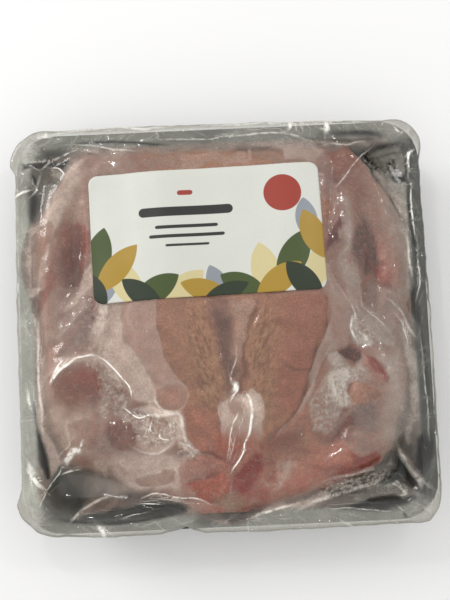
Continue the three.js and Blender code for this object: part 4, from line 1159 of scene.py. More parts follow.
def random_wrinkles():
    """Small wrinkles as place, direction, half length, height and whiteness of their painted highlight."""
    rng = np.random.default_rng(11)
    wrinkles = []
    for _ in range(BORDER_WRINKLES):
        turn = rng.uniform(0, 2 * math.pi)
        u = np.clip(1.3 * math.cos(turn), -1, 1)
        v = np.clip(1.3 * math.sin(turn), -1, 1)
        reach = max(abs(u), abs(v))
        x, y = rounded_point(np.array(u / reach), np.array(v / reach), *WRINKLE_LOOP, BAG_CORNER)
        slant = math.atan2(float(y), float(x)) + math.pi / 2 + rng.normal(0, 0.5)
        wrinkles.append((float(x), float(y), slant, rng.uniform(5, 16), rng.uniform(0.2, 0.5), 0.14))
    for sign_x in (-1, 1):
        for sign_y in (-1, 1):
            for fan in np.linspace(-0.9, 0.9, 9):
                slant = math.atan2(sign_y, sign_x) + fan + rng.normal(0, 0.08)
                x = sign_x * FAN_PLACE[0] - FAN_REACH * math.cos(slant)
                y = sign_y * FAN_PLACE[1] - FAN_REACH * math.sin(slant)
                wrinkles.append((x, y, slant, rng.uniform(10, 20), rng.uniform(0.4, 0.9), 0.16))
    for _ in range(SCATTERED_WRINKLES):
        x = rng.uniform(*WRINKLE_RANGE_X)
        y = rng.uniform(*WRINKLE_RANGE_Y)
        wrinkles.append((x, y, rng.uniform(0, math.pi), rng.uniform(3, 9), rng.uniform(0.1, 0.25), 0.1))
    return wrinkles


def all_creases():
    """Every crease as height, half width, whiteness of its painted highlight, thickness and points that carry
    its fading.
    """
    creases = []
    for tall, width, bright, thick, points in drawn(CREASES.values()):
        creases.append((tall, width, bright, thick, curve_through(tapered(points), 4 * len(points))))
    for place_x, place_y, slant, half, tall, bright in random_wrinkles():
        reach_x = math.cos(slant) * half
        reach_y = math.sin(slant) * half
        ends = [(place_x - reach_x, place_y - reach_y, 0), (place_x, place_y, 1)]
        ends.append((place_x + reach_x, place_y + reach_y, 0))
        creases.append((tall, WRINKLE_WIDTH, bright, WRINKLE_THICKNESS, ends))
    return creases


def crease_fields(x, y):
    """Height of the creases, the signed distance to the nearest one and the whiteness of its painted
    highlight.
    """
    height = np.zeros(np.shape(x))
    signed = np.full(np.shape(x), -FAR_OUT)
    white = np.zeros(np.shape(x))
    bent_x, bent_y = wandered(x, y, 0.7, 70)
    for tall, width, bright, thick, points in all_creases():
        xs = [point[0] for point in points]
        ys = [point[1] for point in points]
        near = (x > min(xs) - NEAR_CREASE) & (x < max(xs) + NEAR_CREASE)
        near &= (y > min(ys) - NEAR_CREASE) & (y < max(ys) + NEAR_CREASE)
        gap, strength, side = nearest_on(points, bent_x[near], bent_y[near])
        height[near] = np.maximum(height[near], tall * strength * np.exp(-((gap / width) ** 2)))
        share = gap * side / thick
        closer = np.abs(share) < np.abs(signed[near])
        signed[near] = np.where(closer, share, signed[near])
        white[near] = np.where(closer, bright * strength, white[near])
    return height, signed, white


def relief(x, y):
    """Low relief of the flesh that the tight film takes on."""
    low = noise(x, y, 16, 5) * 0.7 + noise(x, y, 5, 9, 2) * 0.22
    for depth, width, points in GROOVES:
        low = low - depth * stroke(*as_seen(x, y), points, width)
    return low * smooth_step((inside_mouth(x, y) - 3) / 8)


def film_height(x, y):
    creases, _, _ = crease_fields(x, y)
    border = 1 - smooth_step((inside_mouth(x, y) - 1) / 6)
    loose = (noise(x, y, 14, 21) * 0.5 + noise(x, y, 4, 23, 2) * 0.2) * border
    free = bag_height(x, y) + relief(x, y) + creases + loose
    pressed = free - label_press(x, y) * np.maximum(free - paper_height(x, y) + LABEL_GAP, 0)
    over_flange = inside_mouth(x, y) < 2
    return np.where(over_flange, np.maximum(pressed, TRAY_HEIGHT + 0.3), pressed)


def grid(steps_x, steps_y):
    """Points of a grid from -1 to 1 both ways."""
    u, v = np.meshgrid(np.linspace(-1, 1, steps_x + 1), np.linspace(-1, 1, steps_y + 1))
    return u.ravel(), v.ravel()


def grid_faces(steps_x, steps_y):
    row, column = np.meshgrid(np.arange(steps_y), np.arange(steps_x), indexing="ij")
    corner = (row * (steps_x + 1) + column).ravel()
    above = corner + steps_x + 1
    return np.stack([corner, corner + 1, above + 1, above], axis=1)


def border_loop(steps_x, steps_y):
    """Indices of the grid's outer points, in order."""
    wide = steps_x + 1
    low = list(range(wide))
    right = [row * wide + steps_x for row in range(1, steps_y + 1)]
    high = [steps_y * wide + column for column in range(steps_x - 1, -1, -1)]
    left = [row * wide for row in range(steps_y - 1, 0, -1)]
    return np.array(low + right + high + left)


def band_faces(upper, lower):
    """Faces of a closed band between two loops of points."""
    return np.stack([upper, lower, np.roll(lower, -1), np.roll(upper, -1)], axis=1)


def onion(u, v, outline):
    """Points of a grid whose rings follow an outline."""
    ring = np.maximum(np.maximum(np.abs(u), np.abs(v)), 1e-6)
    edge_x, edge_y = outline(u / ring, v / ring)
    return edge_x * ring, edge_y * ring, ring


def new_piece(name, points, faces, material):
    """A smooth mesh object in metres from points in millimetres."""
    mesh = bpy.data.meshes.new(name)
    mesh.from_pydata((np.asarray(points) * MM).tolist(), [], faces)
    mesh.polygons.foreach_set("use_smooth", [True] * len(mesh.polygons))
    mesh.materials.append(material)
    piece = bpy.data.objects.new(name, mesh)
    bpy.context.collection.objects.link(piece)
    return piece


def set_values(piece, name, values):
    layer = piece.data.attributes.new(name, "FLOAT", "POINT")
    layer.data.foreach_set("value", np.asarray(values, dtype=np.float32))


def set_colours(piece, name, colours):
    layer = piece.data.attributes.new(name, "FLOAT_COLOR", "POINT")
    alpha = np.ones((len(colours), 1))
    layer.data.foreach_set("color", np.hstack([colours, alpha]).astype(np.float32).ravel())


class Nodes:
    """Short calls that build one material's node tree."""

    def __init__(self, name):
        self.material = bpy.data.materials.new(name)
        self.material.use_nodes = True
        self.tree = self.material.node_tree
        self.tree.nodes.clear()

    def add(self, kind, values=None, **settings):
        made = self.tree.nodes.new(kind)
        for key, value in settings.items():
            setattr(made, key, value)
        for key, value in (values or {}).items():
            self.put(made.inputs[key], value)
        return made

    def put(self, socket, value):
        if isinstance(value, bpy.types.NodeSocket):
            self.tree.links.new(value, socket)
        else:
            socket.default_value = value

    def value(self, name):
        return self.add("ShaderNodeAttribute", attribute_name=name).outputs["Fac"]

    def colour(self, name):
        return self.add("ShaderNodeAttribute", attribute_name=name).outputs["Color"]

    def place(self):
        return self.add("ShaderNodeTexCoord").outputs["Object"]

    def noise(self, size, detail=3.0, rough=0.5, swirl=0.0, vector=None):
        """Noise from 0 to 1 whose blots are about size millimetres."""
        made = self.add("ShaderNodeTexNoise", {
            "Vector": vector or self.place(), "Scale": 1000 / size, "Detail": detail, "Roughness": rough,
            "Distortion": swirl,
        })
        return made.outputs["Fac"]

    def math(self, operation, first, second=0.0, third=0.0):
        made = self.add("ShaderNodeMath", operation=operation)
        for socket, value in zip(made.inputs, (first, second, third)):
            self.put(socket, value)
        return made.outputs[0]

    def ramp(self, value, low, high, start=0.0, end=1.0):
        values = {"Value": value, "From Min": low, "From Max": high, "To Min": start, "To Max": end}
        return self.add("ShaderNodeMapRange", values, interpolation_type="SMOOTHSTEP").outputs["Result"]

    def mix(self, share, first, second, blend="MIX"):
        made = self.add("ShaderNodeMix", data_type="RGBA", blend_type=blend)
        self.put(made.inputs[0], share)
        self.put(made.inputs[6], first)
        self.put(made.inputs[7], second)
        return made.outputs[2]

    def bump(self, height, distance, strength=1.0):
        values = {"Height": height, "Distance": distance * MM, "Strength": strength}
        return self.add("ShaderNodeBump", values).outputs["Normal"]

    def finish(self, shader):
        output = self.add("ShaderNodeOutputMaterial")
        self.tree.links.new(shader, output.inputs["Surface"])
        return self.material


def rgba(colour):
    return (*linear(colour), 1.0)


def feather_rows(n, turn, mask):
    """Slanted furrows and raised follicles of plucked feathers: how dark the painted shade in the furrows is,
    how pale the follicles are (partly their own tone and partly painted highlight), and how high they are.
    """
    turned = n.add("ShaderNodeMapping", {"Vector": n.place(), "Rotation": (0, 0, turn)})
    squeezed = n.add("ShaderNodeMapping", {"Vector": turned.outputs["Vector"], "Scale": (1, 0.42, 0.3)})
    rows = n.noise(2.1, 2, 0.5, 0.3, squeezed.outputs["Vector"])
    cells = n.add("ShaderNodeTexVoronoi", {
        "Vector": squeezed.outputs["Vector"], "Scale": 340.0, "Randomness": 0.75,
    })
    pits = n.ramp(cells.outputs["Distance"], 0.08, 0.26, 0.8, 0.0)
    dark = n.math("MULTIPLY", n.math("MAXIMUM", n.ramp(rows, 0.38, 0.49, 0.75, 0.0), pits), n.value(mask))
    pale = n.math("MULTIPLY", n.ramp(rows, 0.52, 0.68), n.value(mask))
    return dark, pale


def flesh_material():
    """Moist raw skin and muscle: painted zones, mottling, feather tracts with painted shade in their furrows,
    follicles partly lightened as painted highlight, and small veins.
    """
    n = Nodes("raw chicken")
    base = n.colour("flesh")
    mottle = n.value("mottle")
    broad = n.ramp(n.noise(9, 4, 0.6), 0.3, 0.7, 0.89, 1.08)
    fine = n.ramp(n.noise(1.1, 4, 0.7), 0.3, 0.7, 0.76, 1.2)
    tone = n.add("ShaderNodeVectorMath", {0: base}, operation="SCALE")
    n.put(tone.inputs["Scale"], n.math("MULTIPLY", broad, fine))
    patchy = n.ramp(n.noise(4.5, 5, 0.62, 0.8), 0.44, 0.68)
    flush = n.math("MULTIPLY", patchy, n.math("MULTIPLY_ADD", mottle, 0.42, 0.1))
    flushed = n.mix(flush, tone.outputs[0], rgba(FLUSH))
    blanched = n.ramp(n.noise(3.2, 5, 0.62, 0.8), 0.5, 0.72)
    paler = n.mix(n.math("MULTIPLY", blanched, n.math("MULTIPLY", mottle, 0.4)), flushed, rgba(BLANCHED))
    vein_line = n.math("ABSOLUTE", n.math("SUBTRACT", n.noise(13, 5, 0.62), 0.5))
    vein = n.math("MULTIPLY", n.ramp(vein_line, 0.0, 0.02, 1.0, 0.0), n.value("veins"))
    veined = n.mix(vein, paler, rgba(VEIN))
    left_furrow_shade, left_pale_and_highlight = feather_rows(n, math.radians(-26), "tract_left")
    right_furrow_shade, right_pale_and_highlight = feather_rows(n, math.radians(22), "tract_right")
    dark = n.math("MAXIMUM", left_furrow_shade, right_furrow_shade)
    pale = n.math("MAXIMUM", left_pale_and_highlight, right_pale_and_highlight)
    furrow_shaded = n.mix(n.math("MULTIPLY", dark, 0.7), veined, rgba(FURROW_SHADE))
    speckled = n.mix(n.math("MULTIPLY", pale, 0.5), furrow_shaded, rgba(FOLLICLE_AND_HIGHLIGHT))
    rows = n.math("SUBTRACT", pale, dark)
    height = n.math("ADD", n.noise(2.2, 3), n.math("MULTIPLY", rows, 0.8))
    shader = n.add("ShaderNodeBsdfPrincipled", {
        "Base Color": speckled, "Roughness": 0.45, "Normal": n.bump(height, 0.3, 0.5),
        "Subsurface Weight": 0.12, "Subsurface Radius": (1.0, 0.35, 0.25), "Subsurface Scale": 0.0025,
    })
    return n.finish(shader.outputs[0])


def film_haze(n, edge_shift):
    """How milky the film is: clouded where it stands off, clear where it lies tight, with froth."""
    tight = n.ramp(n.math("ADD", n.value("contact"), edge_shift), -0.4, 0.4)
    wide_shift = n.math("MULTIPLY", edge_shift, 2.0)
    half_tight = n.ramp(n.math("ADD", n.value("half_contact"), wide_shift), -1.0, 1.0)
    clear_share = n.math("MULTIPLY_ADD", tight, -0.9, 1.0)
    half_share = n.math("MULTIPLY_ADD", half_tight, -0.5, 1.0)
    kept = n.math("MULTIPLY", clear_share, half_share)
    drift = n.math("SUBTRACT", n.noise(7, 5, 0.6, 0.3), 0.5)
    grain = n.math("SUBTRACT", n.noise(1.4, 4, 0.7), 0.5)
    cloud = n.math("MULTIPLY_ADD", n.math("MULTIPLY_ADD", grain, 1.15, drift), n.value("ragged"), 1.0)
    haze = n.math("MULTIPLY", n.math("MULTIPLY", n.value("haze"), cloud), kept)
    bubbles = n.ramp(n.noise(1.7, 3, 0.6), 0.5, 0.66, 0.0, 0.16)
    clots = n.ramp(n.noise(3.0, 6, 0.75, 0.4), 0.32, 0.66, -0.4, 0.16)
    froth = n.math("MULTIPLY", n.math("ADD", bubbles, clots), n.value("foam"))
    rim = n.ramp(n.math("ABSOLUTE", n.math("ADD", n.value("contact"), edge_shift)), 0.0, 0.7, 0.4, 0.0)
    lit_rim = n.math("MULTIPLY", rim, n.value("haze"))
    return n.math("MAXIMUM", n.math("ADD", n.math("ADD", haze, froth), lit_rim), 0.015)


def film_glints(n):
    """Painted highlights of the film: white lines along its creases, and sparkling specks."""
    line = n.ramp(n.math("ABSOLUTE", n.value("crease")), 0.1, 0.8, 1.0, 0.0)
    crease = n.math("MULTIPLY", line, n.value("white"))
    broken = n.math("MULTIPLY", crease, n.ramp(n.noise(4.5, 3, 0.6), 0.34, 0.52, 0.35, 1.0))
    specks = n.add("ShaderNodeTexVoronoi", {"Vector": n.place(), "Scale": 330.0})
    chosen = n.add("ShaderNodeSeparateColor", {0: specks.outputs["Color"]})
    lit = n.math("GREATER_THAN", n.math("ADD", chosen.outputs[0], n.value("sparkle")), 1.0)
    sparkle = n.math("MULTIPLY", n.ramp(specks.outputs["Distance"], 0.06, 0.17, 0.85, 0.0), lit)
    return n.math("MAXIMUM", broken, sparkle)


def film_material():
    """Clear glossy film: milky where it stands off, with frothy places and painted white highlights along its
    creases.
    """
    n = Nodes("clear film")
    edge_shift = n.math("MULTIPLY", n.math("SUBTRACT", n.noise(3.2, 3, 0.55), 0.5), 1.6)
    # Painted highlights, laid on the milk as near-white cover
    glints = film_glints(n)
    cover = n.math("MINIMUM", n.math("ADD", film_haze(n, edge_shift), glints), 0.96)
    tone = n.mix(glints, n.colour("milk"), rgba(GLINT))
    wrinkles = n.math("ADD", n.noise(5.0, 3, 0.5), n.math("MULTIPLY", n.noise(1.2, 2), 0.12))
    bump = n.bump(wrinkles, 0.5, 0.4)
    clear = n.add("ShaderNodeBsdfTransparent", {"Color": (0.98, 0.98, 0.97, 1)})
    gloss = n.add("ShaderNodeBsdfGlossy", {"Color": (0.95, 0.95, 0.95, 1), "Roughness": 0.07, "Normal": bump})
    edge = n.add("ShaderNodeFresnel", {"IOR": 1.45, "Normal": bump})
    skin = n.add("ShaderNodeMixShader", {0: edge.outputs[0], 1: clear.outputs[0], 2: gloss.outputs[0]})
    milk = n.add("ShaderNodeBsdfPrincipled", {
        "Base Color": tone, "Roughness": 0.25, "Normal": bump, "Specular IOR Level": 0.5,
    })
    whole = n.add("ShaderNodeMixShader", {0: cover, 1: skin.outputs[0], 2: milk.outputs[0]})
    return n.finish(whole.outputs[0])


def tray_material():
    """Black moulded plastic with a satin grain."""
    n = Nodes("black tray plastic")
    grain = n.noise(0.8, 3, 0.6)
    tone = n.mix(n.ramp(n.noise(18, 3), 0.3, 0.7), (0.010, 0.011, 0.011, 1), (0.020, 0.021, 0.021, 1))
    shader = n.add("ShaderNodeBsdfPrincipled", {
        "Base Color": tone, "Roughness": n.ramp(n.noise(9, 4), 0.3, 0.7, 0.4, 0.55),
        "Normal": n.bump(grain, 0.08, 0.4),
    })
    return n.finish(shader.outputs[0])


def label_material():
    """Coated white paper with plain printed shapes."""
    n = Nodes("printed label")
    tone = rgba(PAPER)
    for layer in LABEL_LAYERS:
        share = n.ramp(n.value(layer), -0.22, 0.22)
        tone = n.mix(share, tone, rgba(LABEL_INKS[layer]))
    fibre = n.ramp(n.noise(0.7, 3, 0.6), 0.3, 0.7, 0.965, 1.02)
    printed = n.add("ShaderNodeVectorMath", {0: tone}, operation="SCALE")
    n.put(printed.inputs["Scale"], fibre)
    shader = n.add("ShaderNodeBsdfPrincipled", {
        "Base Color": printed.outputs[0], "Roughness": 0.38, "Normal": n.bump(n.noise(2.5, 3), 0.12, 0.4),
    })
    return n.finish(shader.outputs[0])


def floor_material():
    n = Nodes("pale floor")
    shader = n.add("ShaderNodeBsdfPrincipled", {"Base Color": (0.9, 0.9, 0.9, 1), "Roughness": 0.7})
    return n.finish(shader.outputs[0])


def blended(first, second, share):
    """Goes from one colour to another, at each point as far as its share says."""
    return first + (second - first) * share[:, None]


def patch_share(strength, soft, outline, x, y):
    """How far a noted patch counts at each point, up to its strength."""
    return strength * smooth_step(depth_inside(outline, x, y) / (2 * soft) + 0.5)


def flesh_colours(x, y):
    """Colours of the bird: those of its regions, with the noted patches and then the lines over them."""
    outer = smooth_step((np.abs(x - KEEL_X) - 48) / 14)
    low = smooth_step((-y - 66) / 26)
    away = np.maximum(outer, low)
    right = smooth_step((x - 20) / 30) * (1 - away)
    colours = blended(linear(PALETTE["breast"]), linear(PALETTE["leg"]), away)
    colours = blended(colours, linear(PALETTE["breast right"]), right)
    colours = colours * (1 + 0.1 * wisps(*as_seen(x, y)) * away)[:, None]
    bent_x, bent_y = wandered(x, y, 2.6, 30)
    for colour, *patch in drawn(FLESH_PATCHES):
        colours = blended(colours, linear(PALETTE[colour]), patch_share(*patch, bent_x, bent_y))
    bent_x, bent_y = wandered(x, y, 1.1, 37)
    for colour, strength, width, points in drawn(FLESH_LINES):
        share = strength * stroke(bent_x, bent_y, points, width)
        colours = blended(colours, linear(PALETTE[colour]), share)
    return colours


def tract_share(x, y):
    """How far each point lies in the breast's feather tracts."""
    tract = np.zeros(len(x))
    for width, points in TRACTS:
        tract = np.maximum(tract, stroke(x, y, points, width))
    return tract


def build_chicken():
    u, v = grid(GRID_STEPS, GRID_STEPS)
    x, y, _ = onion(u, v, lambda a, b: tray_ring(a, b, BIRD_INSET))
    places, levels = zip(*WALL_PROFILE)
    tray_level = np.interp(inside_mouth(x, y), places, levels) + WALL_GAP
    inside = depth_inside(BIRD_OUTLINE, *wandered(x, y, 1.2, 90))
    lean = np.clip(1 - inside / FLESH_ROUNDING, 0, 1)
    side = FLESH_ROUNDING * (1 - np.sqrt(1 - lean * lean)) + 5 * np.maximum(-inside, 0)
    film = film_height(x, y)
    body = np.minimum(bird_height(x, y) + relief(x, y), film - FLESH_GAP) - side
    z = np.minimum(np.maximum(body, tray_level), film - LEAST_GAP)
    raised = body > tray_level
    faces = grid_faces(GRID_STEPS, GRID_STEPS)
    faces = faces[raised[faces].any(axis=1)]
    piece = new_piece("chicken", np.stack([x, y, z], axis=1), faces.tolist(), flesh_material())
    set_colours(piece, "flesh", flesh_colours(x, y))
    tract = tract_share(*wandered(x, y, 2, 44))
    set_values(piece, "tract_left", tract * (x < KEEL_X))
    set_values(piece, "tract_right", tract * (x >= KEEL_X))
    away = smooth_step((np.abs(x - KEEL_X) - 44) / 12)
    set_values(piece, "veins", 0.05 + 0.12 * away)
    set_values(piece, "mottle", np.maximum(away, smooth_step((-y - 70) / 20)))
    close_below(piece)
    return piece


def close_below(piece):
    """Drops the loose points and closes the mesh with a skirt down to a flat underside."""
    shape = bmesh.new()
    shape.from_mesh(piece.data)
    loose = [point for point in shape.verts if not point.link_faces]
    bmesh.ops.delete(shape, geom=loose, context="VERTS")
    rim = [edge for edge in shape.edges if edge.is_boundary]
    skirt = bmesh.ops.extrude_edge_only(shape, edges=rim)["geom"]
    for point in skirt:
        if isinstance(point, bmesh.types.BMVert):
            point.co.x *= UNDERSIDE_SHARE
            point.co.y *= UNDERSIDE_SHARE
            point.co.z = UNDERSIDE_LEVEL * MM
    low_rim = [edge for edge in skirt if isinstance(edge, bmesh.types.BMEdge) and edge.is_boundary]
    bmesh.ops.triangle_fill(shape, edges=low_rim, use_beauty=True)
    bmesh.ops.recalc_face_normals(shape, faces=shape.faces)
    shape.to_mesh(piece.data)
    shape.free()


def bag_edge(u, v):
    x, y = rounded_point(u, v, TRAY_HALF_X + BAG_MARGIN, TRAY_HALF_Y + BAG_MARGIN, BAG_CORNER)
    knots = sorted((math.atan2(knot_y, knot_x), out) for knot_x, knot_y, out in EDGE_KNOTS)
    turns = [turn for turn, _ in knots]
    push = np.interp(np.arctan2(y, x), turns, [out for _, out in knots], period=2 * math.pi)
    push = push + noise(x, y, 9, 61, 2) * 0.35
    far = np.maximum(np.hypot(x, y), 1)
    return x * (1 + push / far), y * (1 + push / far)


def border_haze(x, y):
    """Milkiness over the flange and outside it: high on the left, partly as painted reflection of the light
    from that side, and faint on the right.
    """
    across = np.clip((np.abs(x) - np.abs(y) * 131 / 128) / 16 + 0.5, 0, 1)
    # The left side's higher milkiness is partly a painted reflection of the bright room to the left
    sides = np.where(x < 0, 0.68, 0.11)
    ends = np.where(y > 0, 0.36 + 0.0005 * np.abs(x), 0.40)
    drift = 1 + 0.22 * noise(x, y, 30, 130, 2)
    return (sides * across + ends * (1 - across)) * drift


def deepest(outlines, x, y):
    """Distance inside the nearest of several outlines, above zero inside one."""
    depth = np.full(np.shape(x), FAR_OUT)
    for outline in outlines:
        depth = np.maximum(depth, depth_inside(on_rim(outline), x, y))
    return depth


def beyond_flange(x, y):
    return smooth_step(-(inside_mouth(x, y) + FLANGE_WIDTH) / 1.5)


def wisps(x, y):
    """Streaks that run down from the neck to both legs, between about -1 and 1."""
    turn = np.arctan2(WISP_CENTRE[1] - y, WISP_CENTRE[0] - x)
    far = np.hypot(x - WISP_CENTRE[0], y - WISP_CENTRE[1])
    return noise(turn * WISP_RADIUS, far / 6, 6, 150, 4)


def flesh_reach(x, y):
    """How far the flesh under the film reaches over the flange, at the left wing and the tail."""
    wing = np.exp(-(((x + 125) / 10) ** 2) - ((y - 44) / 20) ** 2)
    tail = np.exp(-(((y + 124) / 10) ** 2) - ((x + 2) / 18) ** 2)
    return 9 * np.maximum(wing, tail)


def haze_fields(x, y):
    """Milkiness of the film, how uneven it is, and how cool its tone is over the bare tray."""
    inner = inside_mouth(x, y) + flesh_reach(x, y)
    border = 1 - smooth_step((inner + 0.5) / 3)
    seen_x, seen_y = as_seen(x, y)
    bent_x, bent_y = wandered(x, y, 1.4, 120)
    outer = np.maximum(smooth_step((np.abs(x - 2) - 50) / 16), smooth_step((-y - 70) / 24))
    right = smooth_step((x - 20) / 40)
    haze = 0.07 + (0.17 - 0.08 * right) * outer + 0.1 * smooth_step((8 - inner) / 6)
    for patch in drawn(HAZE_PATCHES.values()):
        share = patch_share(*patch, bent_x, bent_y)
        haze = np.maximum(haze, share) + 0.25 * np.minimum(haze, share)
    haze = haze * (1 + 0.24 * wisps(seen_x, seen_y) * outer)
    haze = haze * (1 - border) + border_haze(x, y) * border
    cool = border
    for patch in drawn(CLEAR_PATCHES.values()):
        haze = haze * (1 - patch_share(*patch, bent_x, bent_y))
    for patch in drawn(PIT_PATCHES.values()):
        share = patch_share(*patch, bent_x, bent_y)
        haze = haze * (1 - share)
        cool = np.maximum(cool, np.minimum(2.5 * share, 1))
    for width, strength, points in drawn(DARK_LINES):
        haze = haze * (1 - strength * stroke(seen_x, seen_y, points, width))
    haze = haze + (0.8 - haze) * beyond_flange(x, y)
    return haze, 1.1 - 0.6 * border, cool


def foam_share(x, y):
    foam = np.zeros(len(x))
    for soft, outline in drawn(FOAMS):
        foam = np.maximum(foam, patch_share(1, soft, outline, x, y))
    return foam


def milk_colours(x, y, cool):
    """Tone of the milky film: warm over the flesh, and cooler over the tray and outside the flange."""
    warm = smooth_step((inside_mouth(x, y) + flesh_reach(x, y) + 1) / 6) * (1 - cool)
    right = smooth_step((x - 30) / 60)
    milk = blended(linear(MILK["flesh"]), linear(MILK["flesh right"]), right)
    milk = blended(linear(MILK["border"]), milk, warm)
    return blended(milk, linear(MILK["rim"]), beyond_flange(x, y))


def film_ring(u, v, inset, level):
    """One ring of the film below its edge: the first follows that edge, the others lie on the tray."""
    if inset < 0:
        x, y = bag_edge(u, v)
        shrink = 1 - 0.6 / np.hypot(x, y)
        x = x * shrink
        y = y * shrink
    else:
        pleat = noise(np.arctan2(v, u) * 20, np.full(len(u), inset / 3), 0.5, 81, 3)
        pleat = np.maximum(pleat, -0.2) * min(inset / 4, 1.0) * 0.9 * (level > 1)
        x, y = tray_ring(u, v, inset - pleat - 0.3 * (level > 1))
    return np.stack([x, y, np.full(len(u), float(level))], axis=1)


def film_mesh(u, v, top):
    """Points and faces of the whole bag: its top, the rings below its edge and a point in the middle."""
    loop = border_loop(GRID_STEPS, GRID_STEPS)
    points = [top]
    faces = grid_faces(GRID_STEPS, GRID_STEPS).tolist()
    last_ring = loop
    count = len(top)
    for inset, level in FILM_RINGS:
        points.append(film_ring(u[loop], v[loop], inset, level))
        ring = np.arange(count, count + len(loop))
        faces += band_faces(last_ring, ring).tolist()
        last_ring = ring
        count += len(loop)
    points.append([[0.0, 0.0, FILM_RINGS[-1][1]]])
    middle = np.full(len(loop), count)
    faces += np.stack([last_ring, middle, np.roll(last_ring, -1)], axis=1).tolist()
    return np.concatenate(points), faces


def build_film():
    u, v = grid(GRID_STEPS, GRID_STEPS)
    x, y, ring = onion(u, v, bag_edge)
    rounding = smooth_step((ring - EDGE_START) / (1 - EDGE_START))
    z = film_height(x, y) - BAG_EDGE * rounding * rounding
    points, faces = film_mesh(u, v, np.stack([x, y, z], axis=1))
    piece = new_piece("film", points, faces, film_material())
    haze, ragged, cool = haze_fields(x, y)
    _, crease, white = crease_fields(x, y)
    bent_x, bent_y = wandered(x, y, 0.8, 140)
    foam = foam_share(bent_x, bent_y)
    border = 1 - smooth_step((inside_mouth(x, y) + 2) / 4)
    # Painted sparkling highlights: most along the border, then in the froth and over the feather tracts, a
    # few everywhere
    sparkle = 0.05 * border + 0.05 * foam + 0.035 * tract_share(bent_x, bent_y) + 0.012
    # Each field's values over the top, and its value everywhere below the edge
    fields = {
        "sparkle": (sparkle, 0.02),
        "haze": (haze, 0.11),
        "ragged": (ragged, 0.5),
        "contact": (deepest(CONTACTS.values(), bent_x, bent_y), FAR_OUT),
        "half_contact": (deepest(HALF_CONTACTS.values(), bent_x, bent_y), FAR_OUT),
        "foam": (foam, 0),
        "crease": (crease, -FAR_OUT),
        "white": (white, 0),
    }
    below = len(points) - len(x)
    for name, (values, beyond) in fields.items():
        set_values(piece, name, np.concatenate([values, np.full(below, float(beyond))]))
    milk = milk_colours(x, y, np.maximum(cool, 0.25 * foam))
    set_colours(piece, "milk", np.concatenate([milk, np.tile(linear(MILK["border"]), (below, 1))]))
    return piece


def leaf(x, y, middle, half, width, turn):
    """Distance inside a pointed leaf."""
    along = (x - middle[0]) * math.cos(turn) + (y - middle[1]) * math.sin(turn)
    aside = np.abs(-(x - middle[0]) * math.sin(turn) + (y - middle[1]) * math.cos(turn))
    radius = (half * half + width * width) / (2 * width)
    return radius - np.hypot(aside + radius - width, along)


def bar(x, y, middle, half, width):
    """Distance inside a bar with round ends."""
    past = np.maximum(np.abs(x - middle[0]) - (half - width), 0)
    return width - np.hypot(past, y - middle[1])


def label_fields(x, y):
    fields = {layer: np.full(len(x), FAR_OUT) for layer in LABEL_LAYERS}
    for layer, middle, half, width, turn in LABEL_LEAVES:
        shape = leaf(x, y, middle, half, width, math.radians(turn))
        fields[layer] = np.maximum(fields[layer], shape)
    (dot_x, dot_y), radius = LABEL_DOT
    fields["terracotta"] = np.maximum(radius - np.hypot(x - dot_x, y - dot_y), bar(x, y, *LABEL_PILL))
    for middle, half, width in LABEL_BARS:
        fields["ink"] = np.maximum(fields["ink"], bar(x, y, middle, half, width))
    return fields


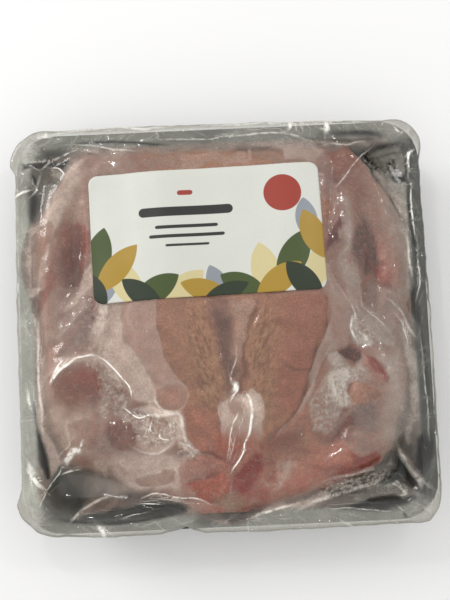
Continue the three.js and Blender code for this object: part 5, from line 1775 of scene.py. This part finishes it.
def build_label():
    u, v = grid(*LABEL_STEPS)
    x, y, _ = onion(u, v, lambda a, b: rounded_point(a, b, LABEL_WIDTH / 2, LABEL_HEIGHT / 2, LABEL_CORNER))
    turn = math.radians(LABEL_TURN)
    place_x = LABEL_CENTRE[0] + x * math.cos(turn) - y * math.sin(turn)
    place_y = LABEL_CENTRE[1] + x * math.sin(turn) + y * math.cos(turn)
    curl = np.maximum(0.25 * noise(x, y, 20, 200, 2), -0.2)
    lower = np.stack([place_x, place_y, paper_height(place_x, place_y) + curl], axis=1)
    upper = lower + np.array([0, 0, LABEL_THICKNESS])
    count = len(x)
    sheet = grid_faces(*LABEL_STEPS)
    loop = border_loop(*LABEL_STEPS)
    faces = np.concatenate([sheet + count, sheet[:, ::-1], band_faces(loop + count, loop)])
    piece = new_piece("label_sheet", np.concatenate([lower, upper]), faces.tolist(), label_material())
    for layer, values in label_fields(x, y).items():
        set_values(piece, layer, np.concatenate([values, values]))
    return piece


def build_floor():
    corners = [(x * FLOOR_HALF, y * FLOOR_HALF, FLOOR_LEVEL) for x, y in ((-1, -1), (1, -1), (1, 1), (-1, 1))]
    floor = new_piece("floor", corners, [(0, 1, 2, 3)], floor_material())


def add_lamp(name, place, size, power):
    light = bpy.data.lights.new(name, "AREA")
    light.shape = "DISK"
    light.size = size
    light.energy = power
    lamp = bpy.data.objects.new(name, light)
    lamp.location = place
    aim = Vector(LAMP_TARGET) - Vector(place)
    lamp.rotation_euler = aim.to_track_quat("-Z", "Y").to_euler()
    bpy.context.collection.objects.link(lamp)


def set_up_light():
    world = bpy.data.worlds.new("soft room")
    world.use_nodes = True
    background = world.node_tree.nodes["Background"]
    background.inputs["Color"].default_value = ROOM_COLOUR
    background.inputs["Strength"].default_value = ROOM_STRENGTH
    bpy.context.scene.world = world
    for lamp in LAMPS:
        add_lamp(*lamp)


def set_up_camera():
    """Almost straight down, tilted a little to the low side and turned with the photograph."""
    place, turn = camera_pose()
    camera_data = bpy.data.cameras.new("camera")
    camera_data.sensor_width = SENSOR_WIDTH
    camera_data.lens = SENSOR_WIDTH * CAMERA_DISTANCE / (PICTURE_HEIGHT * PIXEL_SIZE)
    camera = bpy.data.objects.new("camera", camera_data)
    camera.location = place * MM
    camera.rotation_euler = turn.to_euler()
    bpy.context.collection.objects.link(camera)
    bpy.context.scene.camera = camera
    bpy.context.scene.view_settings.view_transform = "Standard"


set_up_camera()
set_up_light()
build_floor()

chicken = build_chicken()
film = build_film()
label = build_label()
for piece in (chicken, film, label):
    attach(piece, "root")
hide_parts("bagged_chicken")
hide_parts("bagged_chicken")
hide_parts("label")

tray = bpy.data.objects["tray"]
tray.data.materials.clear()
tray.data.materials.append(tray_material())
